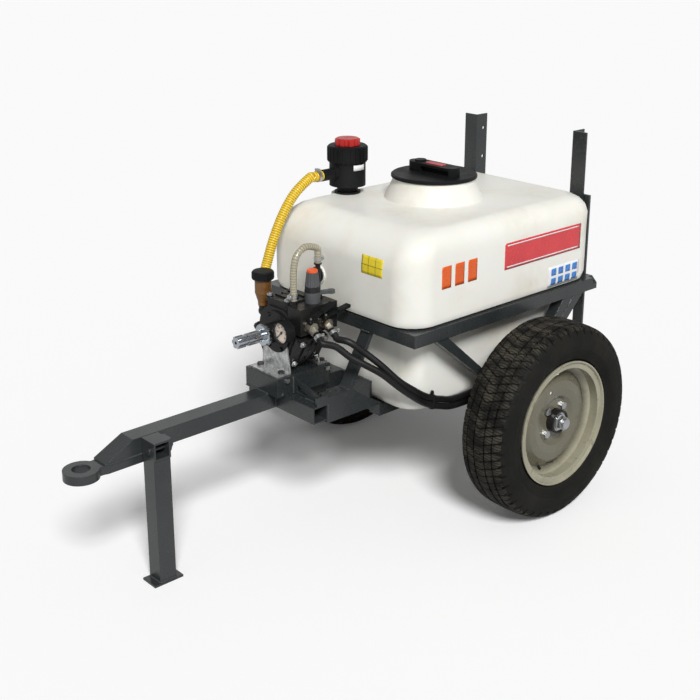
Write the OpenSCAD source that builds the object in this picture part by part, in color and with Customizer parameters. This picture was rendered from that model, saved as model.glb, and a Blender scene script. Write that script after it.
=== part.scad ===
// Wheeled sprayer cart: a towed two-wheel trailer with a 250 litre tank,
// a pump driven from the tractor's power take-off and a hoop frame.
// +X is the right-hand side, -Y points to the towing vehicle, +Z is up.

/* [Wheels] */
// Overall diameter of the tyre
tyre_d = 572; // [540:2:600]
// Width of the tyre across its sidewalls
tyre_w = 160; // [146:1:170]
// Depth of the tread grooves
tread_depth = 7; // [4:0.5:9]
// Number of lugs round each shoulder of the tread
shoulder_lugs = 48; // [24:4:64]
// Diameter over the rim's flanges
rim_d = 366; // [356:1:376]
// Distance between the centre planes of the two wheels
track = 847; // [840:1:860]
// Thickness of the pressed wheel disc
disc_t = 4; // [3:0.5:6]
// Pitch circle of the wheel bolts
wheel_bolt_circle = 98; // [96:1:110]
// Thread diameter of the wheel bolts
wheel_bolt_d = 12; // [10:1:14]

/* [Axle and hubs] */
// Side of the square axle tube
axle_tube = 45; // [40:1:50]
// Length of the axle tube between the spindle shoulders
axle_tube_l = 666; // [650:2:680]
// Diameter of the wheel spindle
spindle_d = 30; // [25:1:32]
// Outside diameter of the wheel bearings
bearing_od = 56; // [52:1:60]
// Width of one wheel bearing
bearing_w = 16; // [13:1:18]
// Outside diameter of the hub barrel
hub_d = 68; // [66:1:74]
// Diameter of the hub flange
hub_flange_d = 128; // [122:1:136]

/* [Drawbar and tow eye] */
// Width of the drawbar tube
bar_w = 55; // [50:1:60]
// Height of the drawbar tube
bar_h = 46; // [40:1:55]
// Wall thickness of the drawbar tube
bar_wall = 4; // [3:0.5:6]
// Height of the drawbar's underside above the ground
bar_z = 355; // [345:1:365]
// Offset of the drawbar and pump to the left of the middle
bar_offset = 47; // [0:1:50]
// Distance from the axle forward to the centre of the tow eye
eye_reach = 1220; // [1190:5:1260]
// Bore of the tow eye
eye_bore = 47; // [40:1:52]
// Outside diameter of the tow eye
eye_d = 92; // [84:1:100]
// Thickness of the tow eye
eye_t = 24; // [18:1:28]

/* [Lower frame] */
// Distance from the axle to the front face of the front beam
beam_reach = 628; // [622:1:640]
// Depth of the front beam along the cart
beam_l = 50; // [40:1:56]
// Half of the front beam's width over its end faces
beam_half = 141; // [130:1:150]
// Height of the side members between the beam and the tank
member_h = 75; // [60:1:80]
// Width of the side members and the cradle rails
member_w = 40; // [30:1:44]
// Height of the cradle rails under the tank
rail_h = 30; // [25:1:36]
// Wall thickness of the frame tubes
frame_wall = 3; // [2:0.5:4]
// Thickness of plates and gussets
plate_t = 8; // [5:1:10]

/* [Tank] */
// Width of the upper tank body
tank_w = 614; // [606:2:620]
// Length of the upper tank body
tank_l = 786; // [780:2:796]
// Width of the lower tank body
tank_low_w = 506; // [490:2:508]
// Length of the lower tank body
tank_low_l = 668; // [650:2:676]
// Height of the lower tank body, from the cradle to the hoop
tank_low_h = 265; // [255:1:275]
// Height of the upper tank body above the hoop
tank_up_h = 259; // [250:1:270]
// Wall thickness of the tank
tank_wall = 6; // [4:0.5:8]
// Distance of the tank's centre in front of the axle
tank_ahead = 38; // [34:1:44]
// Outside diameter of the filler neck at its rim
neck_d = 245; // [230:1:250]
// Height of the filler neck above the tank's top
neck_h = 59; // [50:1:66]

/* [Tank hoop and posts] */
// Width of the hoop over its sides
hoop_w = 628; // [624:1:634]
// Length of the hoop over its ends
hoop_l = 784; // [780:2:788]
// Height of the hoop's angle section
hoop_h = 36; // [30:1:40]
// Width of the hoop's top flange
hoop_flange = 40; // [36:1:42]
// Thickness of the hoop's angle section
hoop_t = 4; // [3:0.5:5]
// Width of the flat struts that carry the hoop
strut_w = 34; // [28:1:34]
// Distance between the inner corners of the two boom posts
post_gap = 386; // [366:2:400]
// Height of the boom posts' top above the ground
post_top = 1034; // [990:2:1060]
// Leg width of the boom posts' angle section
post_leg = 50; // [45:1:55]
// Thickness of the boom posts' angle section
post_t = 5; // [4:0.5:6]
// Diameter of the bolt holes in the boom posts
post_hole_d = 11; // [9:0.5:13]
// Pitch of the bolt holes in the boom posts
post_hole_pitch = 94; // [80:1:100]

/* [Stand] */
// Distance from the axle forward to the stand's pivot
stand_reach = 1038; // [1034:1:1060]
// Side of the stand's square leg
stand_tube = 49; // [45:1:52]
// Gap between the drawbar and the stand's leg
stand_gap = 6; // [4:1:10]
// Diameter of the stand's pivot bolt
stand_bolt_d = 16; // [12:1:18]
// Length of the foot plate along the cart
foot_l = 87; // [80:1:90]
// Thickness of the foot plate
foot_t = 6; // [4:1:8]

/* [Pump platform] */
// Width of the pump platform
deck_w = 140; // [130:1:150]
// Length of the pump platform
deck_l = 190; // [186:1:200]
// Height of the pump platform's folded sides
deck_h = 54; // [48:1:60]
// Sheet thickness of the pump platform
deck_t = 5; // [4:0.5:6]
// Distance from the axle to the front face of the platform
deck_reach = 655; // [652:1:659]

/* [Pump] */
// Height of the pump's shaft above its platform
pump_axis_h = 109; // [105:1:115]
// Distance from the axle to the pump's middle plane
pump_reach = 550; // [545:1:555]
// Diameter of the crankcase
case_d = 150; // [140:1:156]
// Length of the crankcase along the shaft
case_l = 100; // [94:1:104]
// Number of cylinder heads round the crankcase
head_count = 3; // [3:1:3]
// Width of a cylinder head
head_w = 96; // [90:1:100]
// Distance of a cylinder head's outer face from the shaft
head_reach = 95; // [92:1:100]
// Thickness of a cylinder head's cover
cover_t = 16; // [12:1:18]
// Diameter of the splined drive shaft
pto_d = 34.9; // [30:0.1:36]
// Number of splines on the drive shaft
pto_splines = 6; // [6:1:6]
// Length of drive shaft that stands out in front of the pump
pto_l = 98; // [80:1:110]
// Diameter of the polished flange round the drive shaft
pto_flange_d = 62; // [56:1:66]

/* [Gauge and regulator] */
// Diameter of the pressure gauge
gauge_d = 63; // [50:1:66]
// Sweep of the gauge's needle from zero to full scale
gauge_sweep = 270; // [240:5:280]
// Diameter of the regulator knob at its base
knob_d = 42; // [38:1:46]
// Height of the regulator knob
knob_h = 50; // [44:1:56]
// Number of flutes round the regulator knob
knob_flutes = 12; // [8:1:16]
// Length of the bypass lever from its axis
bypass_lever_l = 64; // [50:1:66]
// Length of the ball valves' levers
valve_lever_l = 84; // [70:1:86]

/* [Hoses] */
// Outside diameter of the ribbed suction hose over its ribs
suction_d = 30; // [27:0.5:31]
// Depth of the suction hose's ribs
rib_depth = 1.4; // [0.8:0.1:2]
// Bore of the suction hose
suction_bore = 22; // [18:0.5:24]
// Number of ribs along the suction hose
suction_ribs = 62; // [40:1:70]
// Outside diameter of the delivery hoses
delivery_d = 19; // [16:0.5:20]
// Bore of the delivery hoses
delivery_bore = 11; // [8:0.5:12]
// Outside diameter of the clear bypass hose
bypass_d = 19; // [16:0.5:20]
// Bore of the clear bypass hose
bypass_bore = 13; // [10:0.5:14]

/* [Hidden] */
$fn = 48;
// Clearances: running fit of a bore on its pin, and gap between faces that turn past each other
fit = 0.05;
face_gap = 0.4;
// Amount that a cut runs past the face that it opens
past = 1;
// Play of a bolt in its hole
play = 0.3;

// Heights above the ground
axle_z = tyre_d / 2;
rail_z = axle_z + axle_tube / 2;
tank_z = rail_z + rail_h;
hoop_top = tank_z + tank_low_h;
tank_top = hoop_top + tank_up_h;
bar_top = bar_z + bar_h;
deck_top = bar_top + deck_h;
pump_z = deck_top + pump_axis_h;

// Stations along the cart, measured from the axle
tank_y = -tank_ahead;
hoop_y = tank_y + 5;
hoop_front = hoop_y - hoop_l / 2;
hoop_rear = hoop_y + hoop_l / 2;
post_y = hoop_rear;
axle_y = (eye_reach + eye_d / 2 - post_y - post_leg) / 2;
low_front = tank_y - tank_low_l / 2;
low_rear = tank_y + tank_low_l / 2;
knee_gap = 6;
knee_y = low_front - knee_gap - plate_t;
beam_y = -beam_reach;
deck_y = -deck_reach;
pump_y = -pump_reach;
stand_y = -stand_reach;

// Colours
frame_grey = [0.24, 0.27, 0.29];
cast_black = [0.09, 0.09, 0.10];
rubber_black = [0.07, 0.07, 0.07];
rim_cream = [0.62, 0.62, 0.54];
zinc = [0.72, 0.73, 0.74];
nickel = [0.70, 0.68, 0.62];
tank_white = [0.92, 0.91, 0.87];
plastic_grey = [0.36, 0.38, 0.40];
signal_red = [0.80, 0.12, 0.10];

// ---- Shapes that repeat ----

// Moves what is drawn from the axle into the cart's own frame
module at_axle() {
  translate([0, axle_y, 0]) children();
}

// The same for what stands on the drawbar's own middle line
module at_bar() {
  translate([-bar_offset, 0, 0]) at_axle() children();
}

// Same piece on both sides of the cart
module both_sides() {
  children();
  mirror([1, 0, 0]) children();
}

// Square tube along Y from the origin, centred on X, standing on z = 0
module tube_y(l, w, h, wall) {
  difference() {
    translate([-w / 2, 0, 0]) cube([w, l, h]);
    translate([-w / 2 + wall, -past, wall]) cube([w - 2 * wall, l + 2 * past, h - 2 * wall]);
  }
}

// Square tube along X, centred on the origin
module tube_x(l, w, h, wall) {
  difference() {
    cube([l, w, h], center = true);
    cube([l + 2 * past, w - 2 * wall, h - 2 * wall], center = true);
  }
}

// Cylinder along +X or +Y from the origin
module rod_x(d, l) {
  rotate([0, 90, 0]) cylinder(d = d, h = l);
}

module rod_y(d, l) {
  rotate([-90, 0, 0]) cylinder(d = d, h = l);
}

// Hexagon-head bolt: the head stands on z = 0 and the shank points down
module hex_bolt(d, l) {
  cylinder(d = 1.9 * d, h = 0.65 * d, $fn = 6);
  translate([0, 0, -l]) cylinder(d = d, h = l);
}

// Part turned about the wheel's axis: the profile is [radius, distance out from the wheel's centre]
module turned_x() {
  rotate([0, 90, 0]) rotate_extrude($fn = 96) children();
}

// ---- Hoses: smooth routes, and tubes swept along them ----

// Smooth curve through the route's points, with n steps between two of them
function smooth(p, n) = concat([for (i = [0 : len(p) - 2], k = [0 : n - 1])
  let (a = p[max(i - 1, 0)], b = p[i], c = p[i + 1], d = p[min(i + 2, len(p) - 1)], t = k / n)
  0.5 * (2 * b + (c - a) * t + (2 * a - 5 * b + 4 * c - d) * t * t
    + (3 * b - a - 3 * c + d) * t * t * t)], [p[len(p) - 1]]);

// Distance along a path at each of its points
function stations(p, i = 0, acc = []) = i == len(p) ? acc :
  stations(p, i + 1, concat(acc, [i == 0 ? 0 : acc[i - 1] + norm(p[i] - p[i - 1])]));

// Point at distance s along a path with stations t
function along(p, t, s) = let (i = max([for (k = [0 : len(p) - 2]) if (t[k] <= s + 0.0001) k]))
  p[i] + (p[i + 1] - p[i]) * (s - t[i]) / (t[i + 1] - t[i]);

// Path with count equal steps
function even(p, count) = let (t = stations(p), l = t[len(t) - 1])
  concat([p[0]], [for (i = [1 : count - 1]) along(p, t, l * i / count)], [p[len(p) - 1]]);

function unit(v) = v / norm(v);
function heading(p, i) = unit(p[min(i + 1, len(p) - 1)] - p[max(i - 1, 0)]);

// Side direction at each point, carried along without twist from the first direction
function sides_of(p, first, i = 0, acc = []) = i == len(p) ? acc :
  let (t = heading(p, i), s = i == 0 ? first : acc[i - 1])
  sides_of(p, first, i + 1, concat(acc, [unit(s - t * (s * t))]));

// One ring of points round a path
function ring(c, t, s, r, n) = let (u = cross(t, s))
  [for (k = [0 : n - 1]) c + r * (cos(360 * k / n) * s + sin(360 * k / n) * u)];

// Triangles between two rings of n points that start at a and b
function band(a, b, n) = [for (k = [0 : n - 1], h = [0, 1]) let (m = (k + 1) % n)
  h == 0 ? [a + k, b + k, b + m] : [a + k, b + m, a + m]];

// Hose with an open bore: radii holds the outer radius at each point of the path
module hose(path, first, radii, bore, n, bore_step) {
  count = len(path);
  s = sides_of(path, first);
  inner = [for (i = [0 : bore_step : count - 1]) i];
  points = concat(
    [for (i = [0 : count - 1]) each ring(path[i], heading(path, i), s[i], radii[i], n)],
    [for (i = inner) each ring(path[i], heading(path, i), s[i], bore / 2, n)]);
  first_in = count * n;
  last_in = first_in + (len(inner) - 1) * n;
  faces = concat(
    [for (i = [0 : count - 2]) each band(i * n, (i + 1) * n, n)],
    [for (i = [0 : len(inner) - 2]) each band(first_in + (i + 1) * n, first_in + i * n, n)],
    band(first_in, 0, n),
    band((count - 1) * n, last_in, n));
  polyhedron(points, faces, convexity = 6);
}

// Plain hose along a route of hand-chosen points
module plain_hose(route, first, d, bore, count, n) {
  path = even(smooth(route, 6), count);
  hose(path, first, [for (p = path) d / 2], bore, n, 1);
}

// ---- Drawbar, beam and cradle ----

nose_l = 82;
nose_lip = 4;
nose_y = -eye_reach + eye_d / 2 + 6;

// Hollow drawbar whose closed nose slopes down to the tow eye's plate
module drawbar() {
  top = bar_top;
  outer = [[nose_y, bar_z], [knee_y, bar_z], [knee_y, top], [nose_y + nose_l, top],
    [nose_y, bar_z + nose_lip]];
  inner = [[nose_y + nose_l / 2, bar_z + bar_wall], [knee_y + past, bar_z + bar_wall],
    [knee_y + past, top - bar_wall], [nose_y + nose_l + bar_wall, top - bar_wall]];
  color(frame_grey) at_bar() difference() {
    side_profile(bar_w) polygon(outer);
    side_profile(bar_w - 2 * bar_wall) polygon(inner);
    translate([-bar_w, stand_y, stand_z]) rod_x(stand_bolt_d + play, 2 * bar_w);
  }
}

// Profile drawn in Y and Z, given a thickness w across the cart
module side_profile(w) {
  translate([-w / 2, 0, 0]) rotate([90, 0, 90]) linear_extrude(w) children();
}

eye_neck_w = 48;
eye_tail_l = 130;

// Forged eye on a flat tail that is welded under the drawbar's nose
module tow_eye() {
  color(frame_grey) at_bar() translate([0, -eye_reach, bar_z - eye_t]) difference() {
    union() {
      cylinder(d = eye_d, h = eye_t, $fn = 96);
      linear_extrude(eye_t) polygon(concat(
        [[-eye_neck_w / 2, 0], [eye_neck_w / 2, 0], [eye_neck_w / 2, eye_d / 2 + 2]],
        [[bar_w / 2, eye_d / 2 + 14], [bar_w / 2, eye_d / 2 + eye_tail_l],
          [-bar_w / 2, eye_d / 2 + eye_tail_l], [-bar_w / 2, eye_d / 2 + 14]],
        [[-eye_neck_w / 2, eye_d / 2 + 2]]));
    }
    translate([0, 0, -past]) cylinder(d = eye_bore, h = eye_t + 2 * past, $fn = 96);
  }
}

member_z = bar_z - 10;

// Stub beams on the drawbar, webs up to the platform and box members that taper to the knees
module lower_frame() {
  y0 = beam_y + beam_l;
  color(frame_grey) at_axle() for (s = [-1, 1]) {
    inner_x = s * bar_w / 2 - bar_offset;
    l = beam_half - s * inner_x;
    translate([inner_x + s * l / 2, beam_y + beam_l / 2, bar_z + bar_h / 2])
      tube_x(l, beam_l, bar_h, frame_wall);
    side_member(s * (beam_half - member_w / 2), y0);
    mirror([s < 0 ? 1 : 0, 0, 0]) deck_web(deck_w / 2 - s * bar_offset);
  }
}

// Box member from the beam, at the distance x from the middle, that tapers down to the knee
module side_member(x, y0) {
  top = member_z + member_h;
  inside = member_w - 2 * frame_wall;
  difference() {
    side_at(x, member_w) polygon([[y0, member_z], [knee_y, member_z], [knee_y, tank_z + 10],
      [taper_y, top], [y0, top]]);
    translate([x - inside / 2, y0 - past, member_z + frame_wall])
      cube([inside, taper_y - y0 - 4, member_h - 2 * frame_wall]);
  }
}

// Triangular web from the platform's side at x0 to the beam's end, with a window in a wide one
module deck_web(x0) {
  x1 = beam_half - plate_t;
  z0 = bar_top;
  difference() {
    union() {
      translate([0, web_y + plate_t, 0]) rotate([90, 0, 0]) linear_extrude(plate_t)
        polygon([[x0, z0], [x1, z0], [x1, z0 + 20], [x0, deck_top - 6]]);
      translate([x1, web_y - 16, z0]) cube([plate_t, 40, 26]);
    }
    if (x1 - x0 > 90)
      translate([0, web_y + plate_t + past, 0]) rotate([90, 0, 0]) linear_extrude(plate_t + 2 * past)
        polygon([[x0 + 14, z0 + 9], [x0 + 62, z0 + 9], [x0 + 14, z0 + 31]]);
  }
}

web_y = -deck_reach + 56;
rail_rear = low_rear - 6;

// Rails under the tank with a knee plate at the front of each and a cross bar at the rear
module tank_cradle() {
  x = beam_half - member_w / 2;
  y0 = knee_y + plate_t;
  bar_l = 2 * (x - member_w / 2);
  color(frame_grey) at_axle() {
    both_sides() {
      translate([x, y0, rail_z]) tube_y(rail_rear - y0, member_w, rail_h, frame_wall);
      translate([x - member_w / 2, knee_y, rail_z])
        cube([member_w, plate_t, rail_h + 10]);
    }
    translate([-bar_l / 2, knee_y, bar_z - 20]) cube([bar_l, plate_t, bar_h + 20]);
    translate([0, y0 + member_w / 2, rail_z + rail_h / 2])
      tube_x(bar_l, member_w, rail_h, frame_wall);
    translate([0, rail_rear + member_w / 2, rail_z + rail_h / 2])
      tube_x(2 * upright_out, member_w, rail_h, frame_wall);
    outlet_plate();
  }
}

upright_w = 35;
upright_t = 8;
upright_top = 846;
upright_lap = 15;
upright_out = post_gap / 2 + post_leg - upright_lap + upright_w;
outlet_pitch = 32;
outlet_x = upright_out + 18;
outlet_z = rail_z + rail_h / 2;
outlet_y = rail_rear + member_w - 6;
outlet_bore = 21;

// Plate on the end of the rear cross bar that holds the outlets of both delivery hoses
module outlet_plate() {
  translate([upright_out, outlet_y, rail_z]) difference() {
    cube([outlet_pitch + 36, 6, rail_h]);
    for (i = [0, 1])
      translate([outlet_x - upright_out + i * outlet_pitch, -past, rail_h / 2])
        rod_y(outlet_bore, 6 + 2 * past);
  }
}

// Square axle tube under the cradle rails
module axle_beam() {
  color(frame_grey) at_axle() translate([0, 0, axle_z])
    tube_x(axle_tube_l, axle_tube, axle_tube, frame_wall + 1);
}

wheel_x = track / 2;
spindle_shoulder_d = 44;
mount_out = 27;
hub_in = -34;
hub_out = 54;
nut_w = 18;

// Spindle: a plug inside the axle tube, a shoulder and the bearing journal
module spindle() {
  plug = axle_tube - 2 * (frame_wall + 1);
  end_x = axle_tube_l / 2;
  shoulder_x = wheel_x + hub_in + seat_in - face_gap;
  translate([end_x - 60, -plug / 2, -plug / 2]) cube([60, plug, plug]);
  translate([end_x, 0, 0]) rod_x(spindle_shoulder_d, shoulder_x - end_x);
  translate([shoulder_x, 0, 0]) rod_x(spindle_d, wheel_x + hub_out + nut_w + 4 - shoulder_x);
}

seat_in = 3;

module spindles() color(zinc) at_axle() both_sides() translate([0, 0, axle_z]) spindle();

// Castle nut on the spindle's end, with a washer behind it
module axle_nuts() {
  x = wheel_x + hub_out - seat_in + face_gap;
  flats = 36;
  color(zinc) at_axle() both_sides() translate([x, 0, axle_z]) rotate([0, 90, 0]) difference() {
    union() {
      cylinder(d = 46, h = 4);
      translate([0, 0, 4]) cylinder(d = flats / cos(30), h = nut_w - 7, $fn = 6);
      translate([0, 0, nut_w - 3]) cylinder(d = flats - 4, h = 6);
    }
    translate([0, 0, -past]) cylinder(d = spindle_d, h = nut_w + 10);
    for (a = [0 : 60 : 120])
      rotate([0, 0, a]) translate([-flats, -2, nut_w - 1]) cube([2 * flats, 4, 10]);
  }
}

// ---- Hoop, struts and posts ----

// Mitred ring of angle section: flange on top, leg outside
module tank_hoop() {
  inner_w = hoop_w - 2 * hoop_flange;
  inner_l = hoop_l - 2 * hoop_flange;
  color(frame_grey) at_axle() translate([0, hoop_y, hoop_top - hoop_h]) difference() {
    translate([-hoop_w / 2, -hoop_l / 2, 0]) cube([hoop_w, hoop_l, hoop_h]);
    translate([-inner_w / 2, -inner_l / 2, -past]) cube([inner_w, inner_l, hoop_h + 2 * past]);
    translate([-hoop_w / 2 + hoop_t, -hoop_l / 2 + hoop_t, -past])
      cube([hoop_w - 2 * hoop_t, hoop_l - 2 * hoop_t, hoop_h - hoop_t + past]);
    for (x = [-1, 1]) translate([x * hoop_w / 2, hoop_l / 2, hoop_h]) rotate([0, 45, 0])
      cube([26, 40, 26], center = true);
  }
}

leg_w = 40;
leg_t = 12;
leg_lean = 80;
taper_y = hoop_front - leg_lean + 18;
notch_x = -bar_offset - deck_w / 2 - 7;

// Profile in Y and Z at the distance x from the cart's middle, w wide
module side_at(x, w) {
  translate([x, 0, 0]) side_profile(w) children();
}

strut_edge = 48;
strut_front = [[-22, -1], -354];
strut_mid = [[0, 16], 256];
strut_rear = [[17, 31], 309];

// Flat bar with its foot on the axle between two stations and its head centred at another
module axle_to_hoop(bar) {
  top_z = hoop_top - hoop_t;
  foot_z = axle_z + axle_tube / 2;
  polygon([[bar[0][0], foot_z], [bar[0][1], foot_z], [bar[1] + strut_edge / 2, top_z],
    [bar[1] - strut_edge / 2, top_z]]);
}

// Flat legs at the hoop's front, the left one notched round the platform,
// and struts from its sides to the axle: one forward, two rearward
module hoop_struts() {
  foot_z = member_z + member_h;
  head_z = hoop_top - hoop_t;
  y1 = hoop_front + hoop_t;
  color(frame_grey) at_axle() difference() {
    both_sides() {
      side_at(beam_half - member_w / 2, leg_w)
        polygon([[y1 - leg_lean, foot_z], [y1 - leg_lean + leg_t * 1.2, foot_z],
          [y1 + leg_t, head_z - hoop_h], [y1 + leg_t, head_z], [y1, head_z], [y1, head_z - hoop_h]]);
      side_at(hoop_w / 2 - hoop_t - strut_w / 2 - 0.5, strut_w)
        for (bar = [strut_front, strut_mid, strut_rear]) axle_to_hoop(bar);
    }
    translate([notch_x, y1 - leg_lean - past, foot_z - past]) cube([30, leg_lean, deck_top + 15 - foot_z]);
  }
}

// Flat bars behind the tank that the boom posts are bolted to, blocked off the hoop and the cradle
module rear_uprights() {
  x0 = upright_out - upright_w;
  y0 = post_y + post_t;
  block_w = upright_w - upright_lap - 1;
  cradle_end = rail_rear + member_w;
  color(frame_grey) at_axle() both_sides() difference() {
    union() {
      translate([x0, y0, rail_z]) cube([upright_w, upright_t, upright_top - rail_z]);
      translate([upright_out - block_w, hoop_rear, hoop_top - hoop_h])
        cube([block_w, y0 - hoop_rear, hoop_h - 20]);
      translate([x0, cradle_end, rail_z]) cube([upright_w, y0 - cradle_end, rail_h]);
    }
    for (z = post_bolt_z) translate([post_bolt_x, y0 - past, z])
      rod_y(post_bolt_d + play, upright_t + 2 * past);
  }
}

post_foot = hoop_top - hoop_h - 50;
post_bolt_d = 8;
post_bolt_x = post_gap / 2 + post_leg - upright_lap / 2;
post_bolt_z = [hoop_top + 26, upright_top - 40];

// Angle-section posts for a spray boom, with two holes in the rearward leg
module boom_posts() {
  x = post_gap / 2;
  color(frame_grey) at_axle() both_sides() difference() {
    translate([x, post_y, post_foot]) cube([post_leg, post_leg, post_top - post_foot]);
    translate([x + post_t, post_y + post_t, post_foot - past])
      cube([post_leg, post_leg, post_top - post_foot + 2 * past]);
    for (i = [0 : 1]) translate([x - past, post_y + post_leg * 0.68, post_top - 46 - i * post_hole_pitch])
      rod_x(post_hole_d, post_t + 2 * past);
    for (z = post_bolt_z) translate([post_bolt_x, post_y - past, z])
      rod_y(post_bolt_d + play, post_t + 2 * past);
  }
}

// Flat-headed bolts through the posts and the uprights, with nuts behind
module post_bolts() {
  grip = post_t + upright_t;
  color(zinc) at_axle() both_sides() for (z = post_bolt_z)
    translate([post_bolt_x, post_y, z]) {
      translate([0, -2.5, 0]) rod_y(2 * post_bolt_d, 2.5);
      rod_y(post_bolt_d, grip + 12);
      translate([0, grip, 0]) rotate([-90, 0, 0]) cylinder(d = 1.9 * post_bolt_d, h = 7, $fn = 6);
    }
}

// ---- Pump deck and stand ----

// Folded sheet deck, open below and at the rear, cut on the left to stand on the side member
module pump_deck() {
  color(frame_grey) at_bar() difference() {
    translate([-deck_w / 2, deck_y, bar_top]) cube([deck_w, deck_l, deck_h]);
    translate([-deck_w / 2 - past, beam_y + beam_l, bar_top - past])
      cube([deck_t + 2 * past, deck_l, member_z + member_h - bar_top + past]);
    translate([-deck_w / 2 + deck_t, deck_y + deck_t, bar_top - past])
      cube([deck_w - 2 * deck_t, deck_l, deck_h - deck_t + past]);
    for (y = foot_bolt_y, x = [-foot_bolt_x, foot_bolt_x])
      translate([x, y, deck_top - 2 * deck_t]) cylinder(d = foot_bolt_d + play, h = 3 * deck_t);
    for (y = foot_bolt_y) translate([-deck_w, y, side_bolt_z]) rod_x(side_bolt_d + play, 2 * deck_w);
  }
}

foot_bolt_d = 10;
foot_bolt_x = 46;

stand_z = bar_z + bar_h / 2 - 2;
stand_x0 = bar_w / 2 + face_gap;

// Pivot bolt: head on the far side of the drawbar, nut inside the stand's cross tube
module stand_bolt() {
  end_x = stand_x0 + stand_wall + face_gap + 12;
  color(zinc) at_bar() translate([0, stand_y, stand_z]) {
    translate([-bar_w / 2, 0, 0]) rotate([0, -90, 0]) hex_bolt(stand_bolt_d, end_x + bar_w / 2);
    translate([stand_x0 + stand_wall + face_gap, 0, 0]) rotate([0, 90, 0]) difference() {
      cylinder(d = 1.8 * stand_bolt_d, h = 10, $fn = 6);
      translate([0, 0, -past]) cylinder(d = stand_bolt_d, h = 12);
    }
  }
}

stand_wall = 5;
foot_w = stand_tube + 2 * stand_gap - 4;

// Stand: cross tube that turns on the pivot bolt, leg, lug and foot plate, welded together
module stand_leg() {
  leg_x0 = bar_w / 2 + stand_gap;
  tube_l = leg_x0 + stand_tube - stand_x0 + 4;
  half = stand_tube / 2;
  color(frame_grey) at_bar() translate([0, stand_y, 0]) difference() {
    union() {
      translate([stand_x0, -half, stand_z - half]) cube([tube_l, stand_tube, stand_tube]);
      translate([leg_x0, -half, foot_t]) cube([stand_tube, stand_tube, stand_z - half - foot_t]);
      translate([leg_x0 + stand_tube / 2 - foot_w / 2, -foot_l / 2, 0]) cube([foot_w, foot_l, foot_t]);
      lug(half);
    }
    translate([stand_x0 + stand_wall, -half + stand_wall, stand_z - half + stand_wall])
      cube([tube_l, stand_tube - 2 * stand_wall, stand_tube - 2 * stand_wall]);
    translate([leg_x0 + stand_wall, -half + stand_wall, foot_t])
      cube([stand_tube - 2 * stand_wall, stand_tube - 2 * stand_wall, stand_z - half - foot_t]);
    translate([stand_x0 - past, 0, stand_z]) rod_x(stand_bolt_d + 2 * fit, stand_wall + 2 * past);
    translate([stand_pin_x, -stand_tube, stand_z]) rod_y(stand_pin_d + play, 3 * stand_tube);
  }
}

stand_pin_d = 10;
stand_pin_x = bar_w / 2 + stand_gap + stand_tube / 2 + 8;
lug_w = 34;
lug_t = 6;

// Bolt that clamps the lug to the cross tube, with its nut
module stand_pin() {
  grip = stand_tube + lug_t;
  color(zinc) at_bar() translate([stand_pin_x, stand_y - stand_tube / 2, stand_z]) rotate([90, 0, 0]) {
    hex_bolt(stand_pin_d, grip + 12);
    translate([0, 0, -grip - 8]) cylinder(d = 1.9 * stand_pin_d, h = 8, $fn = 6);
  }
}

// Lug with a rounded lower end behind the cross tube
module lug(y) {
  translate([stand_pin_x - lug_w / 2, y, stand_z]) cube([lug_w, lug_t, stand_tube / 2]);
  translate([stand_pin_x, y, stand_z]) rod_y(lug_w, lug_t);
}

// ---- Wheels ----

flange_r = rim_d / 2;
seat_r = flange_r - 18;
bead_gap = 0.3;
rim_t = 4;
bead_a = 58.2;

// Outer half of the tyre's section from the bead to the crown: [radius, distance from the middle]
function tyre_side(r, w) = [[seat_r + 18.5, bead_a], [seat_r + 25, w - 12], [seat_r + 44, w - 3],
  [seat_r + 63, w], [r - 36, w - 1], [r - 19, w - 7], [r - 8, w - 15], [r - 3.5, w - 25], [r - 1.5, w - 42],
  [r, 0]];
function tyre_inside(r) = [[r - 14, 0], [r - 16, 50], [r - 30, 63], [r - 58, 69], [r - 84, 63],
  [seat_r + 18, 52], [seat_r + 6, 44]];
function flip(p) = [for (i = [len(p) - 1 : -1 : 0]) [p[i][0], -p[i][1]]];

// Tyre with circumferential grooves and notched shoulders
module tyre() {
  side = tyre_side(tyre_d / 2, tyre_w / 2);
  inside = tyre_inside(tyre_d / 2);
  half = concat([[seat_r, 44], [seat_r, bead_a]], side);
  groove_a = [44, 18, -18, -44];
  lug_h = 2 * tyre_d * sin(180 / shoulder_lugs) / 5;
  difference() {
    turned_x() polygon(concat(half, flip(half), flip(inside), inside));
    turned_x() for (a = groove_a)
      translate([tyre_d / 2 - tread_depth - 1, a - 3]) square([tread_depth + 4, 6]);
    for (i = [0 : shoulder_lugs - 1], s = [-1, 1])
      rotate([360 * (i + 0.25 * s) / shoulder_lugs, 0, 0])
      translate([s * (tyre_w / 2 - 10), -lug_h / 4, tyre_d / 2 - 17])
      rotate([0, s * 45, 0]) translate([-17, 0, -2.5]) cube([34, lug_h / 2, 20]);
  }
}

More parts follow.
